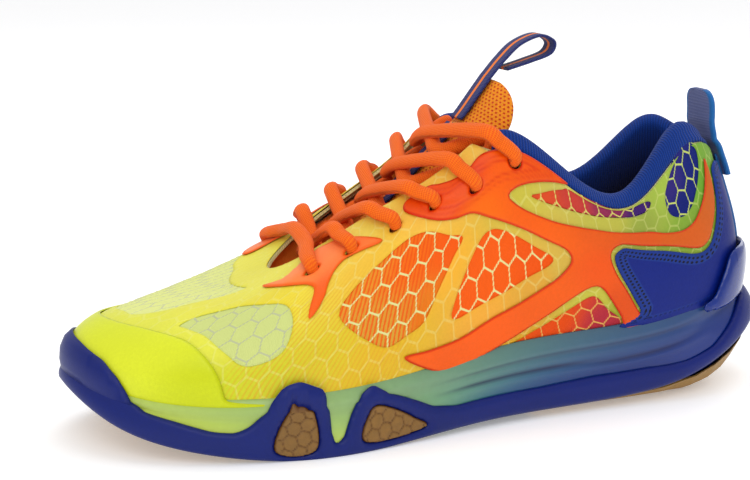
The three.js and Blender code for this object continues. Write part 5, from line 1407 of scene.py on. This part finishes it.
# A rod along a line of points with a radius at each. Its frame is carried without twist, or it is
# laid flat against the directions in over, wide being its half width.
def tube(name, line, radius, sides, material, over=None, wide=None):
    along = unit(np.gradient(line, axis=0))
    side = np.zeros_like(line)
    side[0] = unit(np.cross(along[0], [.3, .2, .9]))
    for k in range(1, len(line)):
        v = side[k - 1] - along[k] * np.dot(side[k - 1], along[k])
        side[k] = v / np.linalg.norm(v)
    if over is not None:
        flatter = over.copy()
        for _ in range(6):
            flatter[1:-1] = (flatter[:-2] + flatter[1:-1] + flatter[2:]) / 3
        side = unit(np.cross(along, flatter))
        for k in range(1, len(line)):
            if np.dot(side[k], side[k - 1]) < 0:
                side[k] = -side[k]
    other = np.cross(along, side)
    turn = np.arange(sides) / sides * 2 * math.pi
    r = np.broadcast_to(radius, len(line))[:, None, None]
    w = r if wide is None else wide[:, None, None]
    ring = w * side[:, None] * np.cos(turn)[None, :, None] + r * other[:, None] * np.sin(turn)[None, :, None]
    points = (line[:, None] + ring).reshape(-1, 3)
    run = np.concatenate([[0], np.cumsum(np.linalg.norm(np.diff(line, axis=0), axis=1))])
    uv = np.stack(np.broadcast_arrays(run[:, None], (turn * 1.0 * 3.5)[None, :]), -1).reshape(-1, 2)
    n = len(points)
    faces = [gridFaces(len(line), sides, closeColumns=True)]
    points = np.concatenate([points, line[:1], line[-1:]])
    uv = np.concatenate([uv, uv[:1], uv[-1:]])
    k = np.arange(sides)
    start = np.stack([np.full(sides, n), (k + 1) % sides, k], 1)
    last = n - sides
    finish = np.stack([np.full(sides, n + 1), last + k, last + (k + 1) % sides], 1)
    return fillMesh(name, points, faceOut(points, faces + [start, finish]), material, uv)


def makeLace(cfg):
    liftsA = [cfg["high"] if k % 2 else cfg["low"] for k in range(5)]
    liftsB = [cfg["low"] if v == cfg["high"] else cfg["high"] for v in liftsA]
    fromLateral = laceHalf(lateralEyelets, medialEyelets, liftsA, cfg)
    fromMedial = laceHalf(medialEyelets, lateralEyelets, liftsB, cfg)
    middle = ((fromLateral[0][0] + fromMedial[0][0]) / 2 + np.array([0, 0, 3.]), 0, np.array([-.5, 0, .86]))
    chain = fromLateral[::-1] + [middle] + fromMedial
    rows = np.array([[*p, n, *o] for p, n, o in chain])
    line = catmull(rows, cfg["rows"])
    narrow = np.clip(line[:, 3], 0, 1)
    deep = cfg["radius"] + (cfg["hole"] - cfg["radius"]) * narrow
    wide = cfg["wide"] + (cfg["hole"] - cfg["wide"]) * narrow
    return tube("lace_cord", line[:, :3], deep, cfg["sides"], laceMaterial, line[:, 4:7], wide)


laceMaterial = makeLaceCord("laceCord")
lace = makeLace(laceSet)
settle(lace, stands=("lace",))

tails = {
    "lateral": [[25.7, -25.9, 102.4], [25.5, -24.4, 101.4], [24.6, -24.2, 97], [22.5, -25.5, 80],
                [19, -26.5, 64], [16, -26, 50], [12, -25, 37], [5, -24, 28.6], [-6, -23.5, 25.4],
                [-20, -23.5, 23.4], [-35, -24, 21.5], [-50, -24.5, 20.5], [-65, -24, 20.5],
                [-78, -21.5, 20.5], [-88, -17, 20.8]],
    "medial": [[25.4, 31.2, 102.9], [25.2, 29.7, 101.9], [24.4, 29.6, 97], [22, 30.3, 80], [18.5, 30, 64],
               [15, 29, 50], [11, 27.5, 37], [4, 26, 28.6], [-7, 26, 25.4], [-21, 27.5, 23.4],
               [-36, 29, 21.5], [-51, 29.5, 20.5], [-66, 29, 20.5], [-78, 27, 20.5], [-87, 23, 20.8]]}
tailSet = {"radius": 1.6, "agletRadius": 1.7, "agletLength": 15., "gap": .3}
agletFilm = makePlain("agletFilm", rgb(240, 116, 24), .25)
for key, points in tails.items():
    line = catmull(points, 260)
    cord = tube("lace_tail_" + key + "_cord", line, tailSet["radius"], 12, laceMaterial)
    way = np.array(points[-1], float) - np.array(points[-2], float)
    way[2] = 0
    way /= np.linalg.norm(way)
    start = line[-1] + way * tailSet["gap"]
    ends = start + way * np.linspace(0, tailSet["agletLength"], 12)[:, None]
    sleeve = np.array([.9] + [1] * 10 + [.85]) * tailSet["agletRadius"]
    tip = tube("aglet_" + key + "_sleeve", ends, sleeve, 16, agletFilm)
    settle(cord, stands=("lace_tail_" + key,))
    settle(tip, stands=("aglet_" + key,))
print("laces")


# Floor, light and world
stageSet = {"floor": (.9, .9, .91), "glow": .26, "sky": (1., 1., 1., 1.), "skyStrength": .74}


def areaLight(name, place, aim, size, power):
    data = bpy.data.lights.new(name, "AREA")
    data.energy, data.size = power, size
    o = bpy.data.objects.new(name, data)
    o.location = place
    o.rotation_euler = (Vector(aim) - Vector(place)).to_track_quat("-Z", "Y").to_euler()
    scene.collection.objects.link(o)
    o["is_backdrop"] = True


floorMesh = bpy.data.meshes.new("floor")
reach, sink = 6., -.0004
corners = [(x * reach, y * reach, sink) for x, y in ((-1, -1), (1, -1), (1, 1), (-1, 1))]
floorMesh.from_pydata(corners, [], [(0, 1, 2, 3)])
floorFinish = bpy.data.materials.new("floorPaper")
floorFinish.use_nodes = True
floorSockets = floorFinish.node_tree.nodes["Principled BSDF"].inputs
floorSockets["Base Color"].default_value = (*stageSet["floor"], 1)
floorSockets["Roughness"].default_value = .7
floorSockets["Emission Color"].default_value = (1, 1, 1, 1)
floorSockets["Emission Strength"].default_value = stageSet["glow"]
floorMesh.materials.append(floorFinish)
floor = bpy.data.objects.new("floor", floorMesh)
scene.collection.objects.link(floor)
floor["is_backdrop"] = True
areaLight("keyLight", (-.6, -1.2, 1.2), (0, 0, .05), 1., 8)
areaLight("topLight", (.2, .2, 1.6), (0, 0, .05), 1.2, 6)
areaLight("rimLight", (.9, .9, .7), (0, 0, .06), .8, 3)


def mixValue(tree, share, a, b):
    return calc(tree, "ADD", a, calc(tree, "MULTIPLY", share, b - a))


world = bpy.data.worlds.new("studio")
world.use_nodes = True
world.node_tree.nodes["Background"].inputs[0].default_value = stageSet["sky"]
rays = world.node_tree.nodes.new("ShaderNodeLightPath")
backdrop = mixValue(world.node_tree, rays.outputs["Is Camera Ray"], stageSet["skyStrength"], 1.)
world.node_tree.links.new(backdrop, world.node_tree.nodes["Background"].inputs[1])
scene.world = world
scene.view_settings.view_transform = "Standard"


def plainLists(b):
    return [[float(v) for v in corner] for corner in b] if hasattr(b, "__len__") else b


{"cad": plainLists(cadBox), "visual": plainLists(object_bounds())}
print("stage")
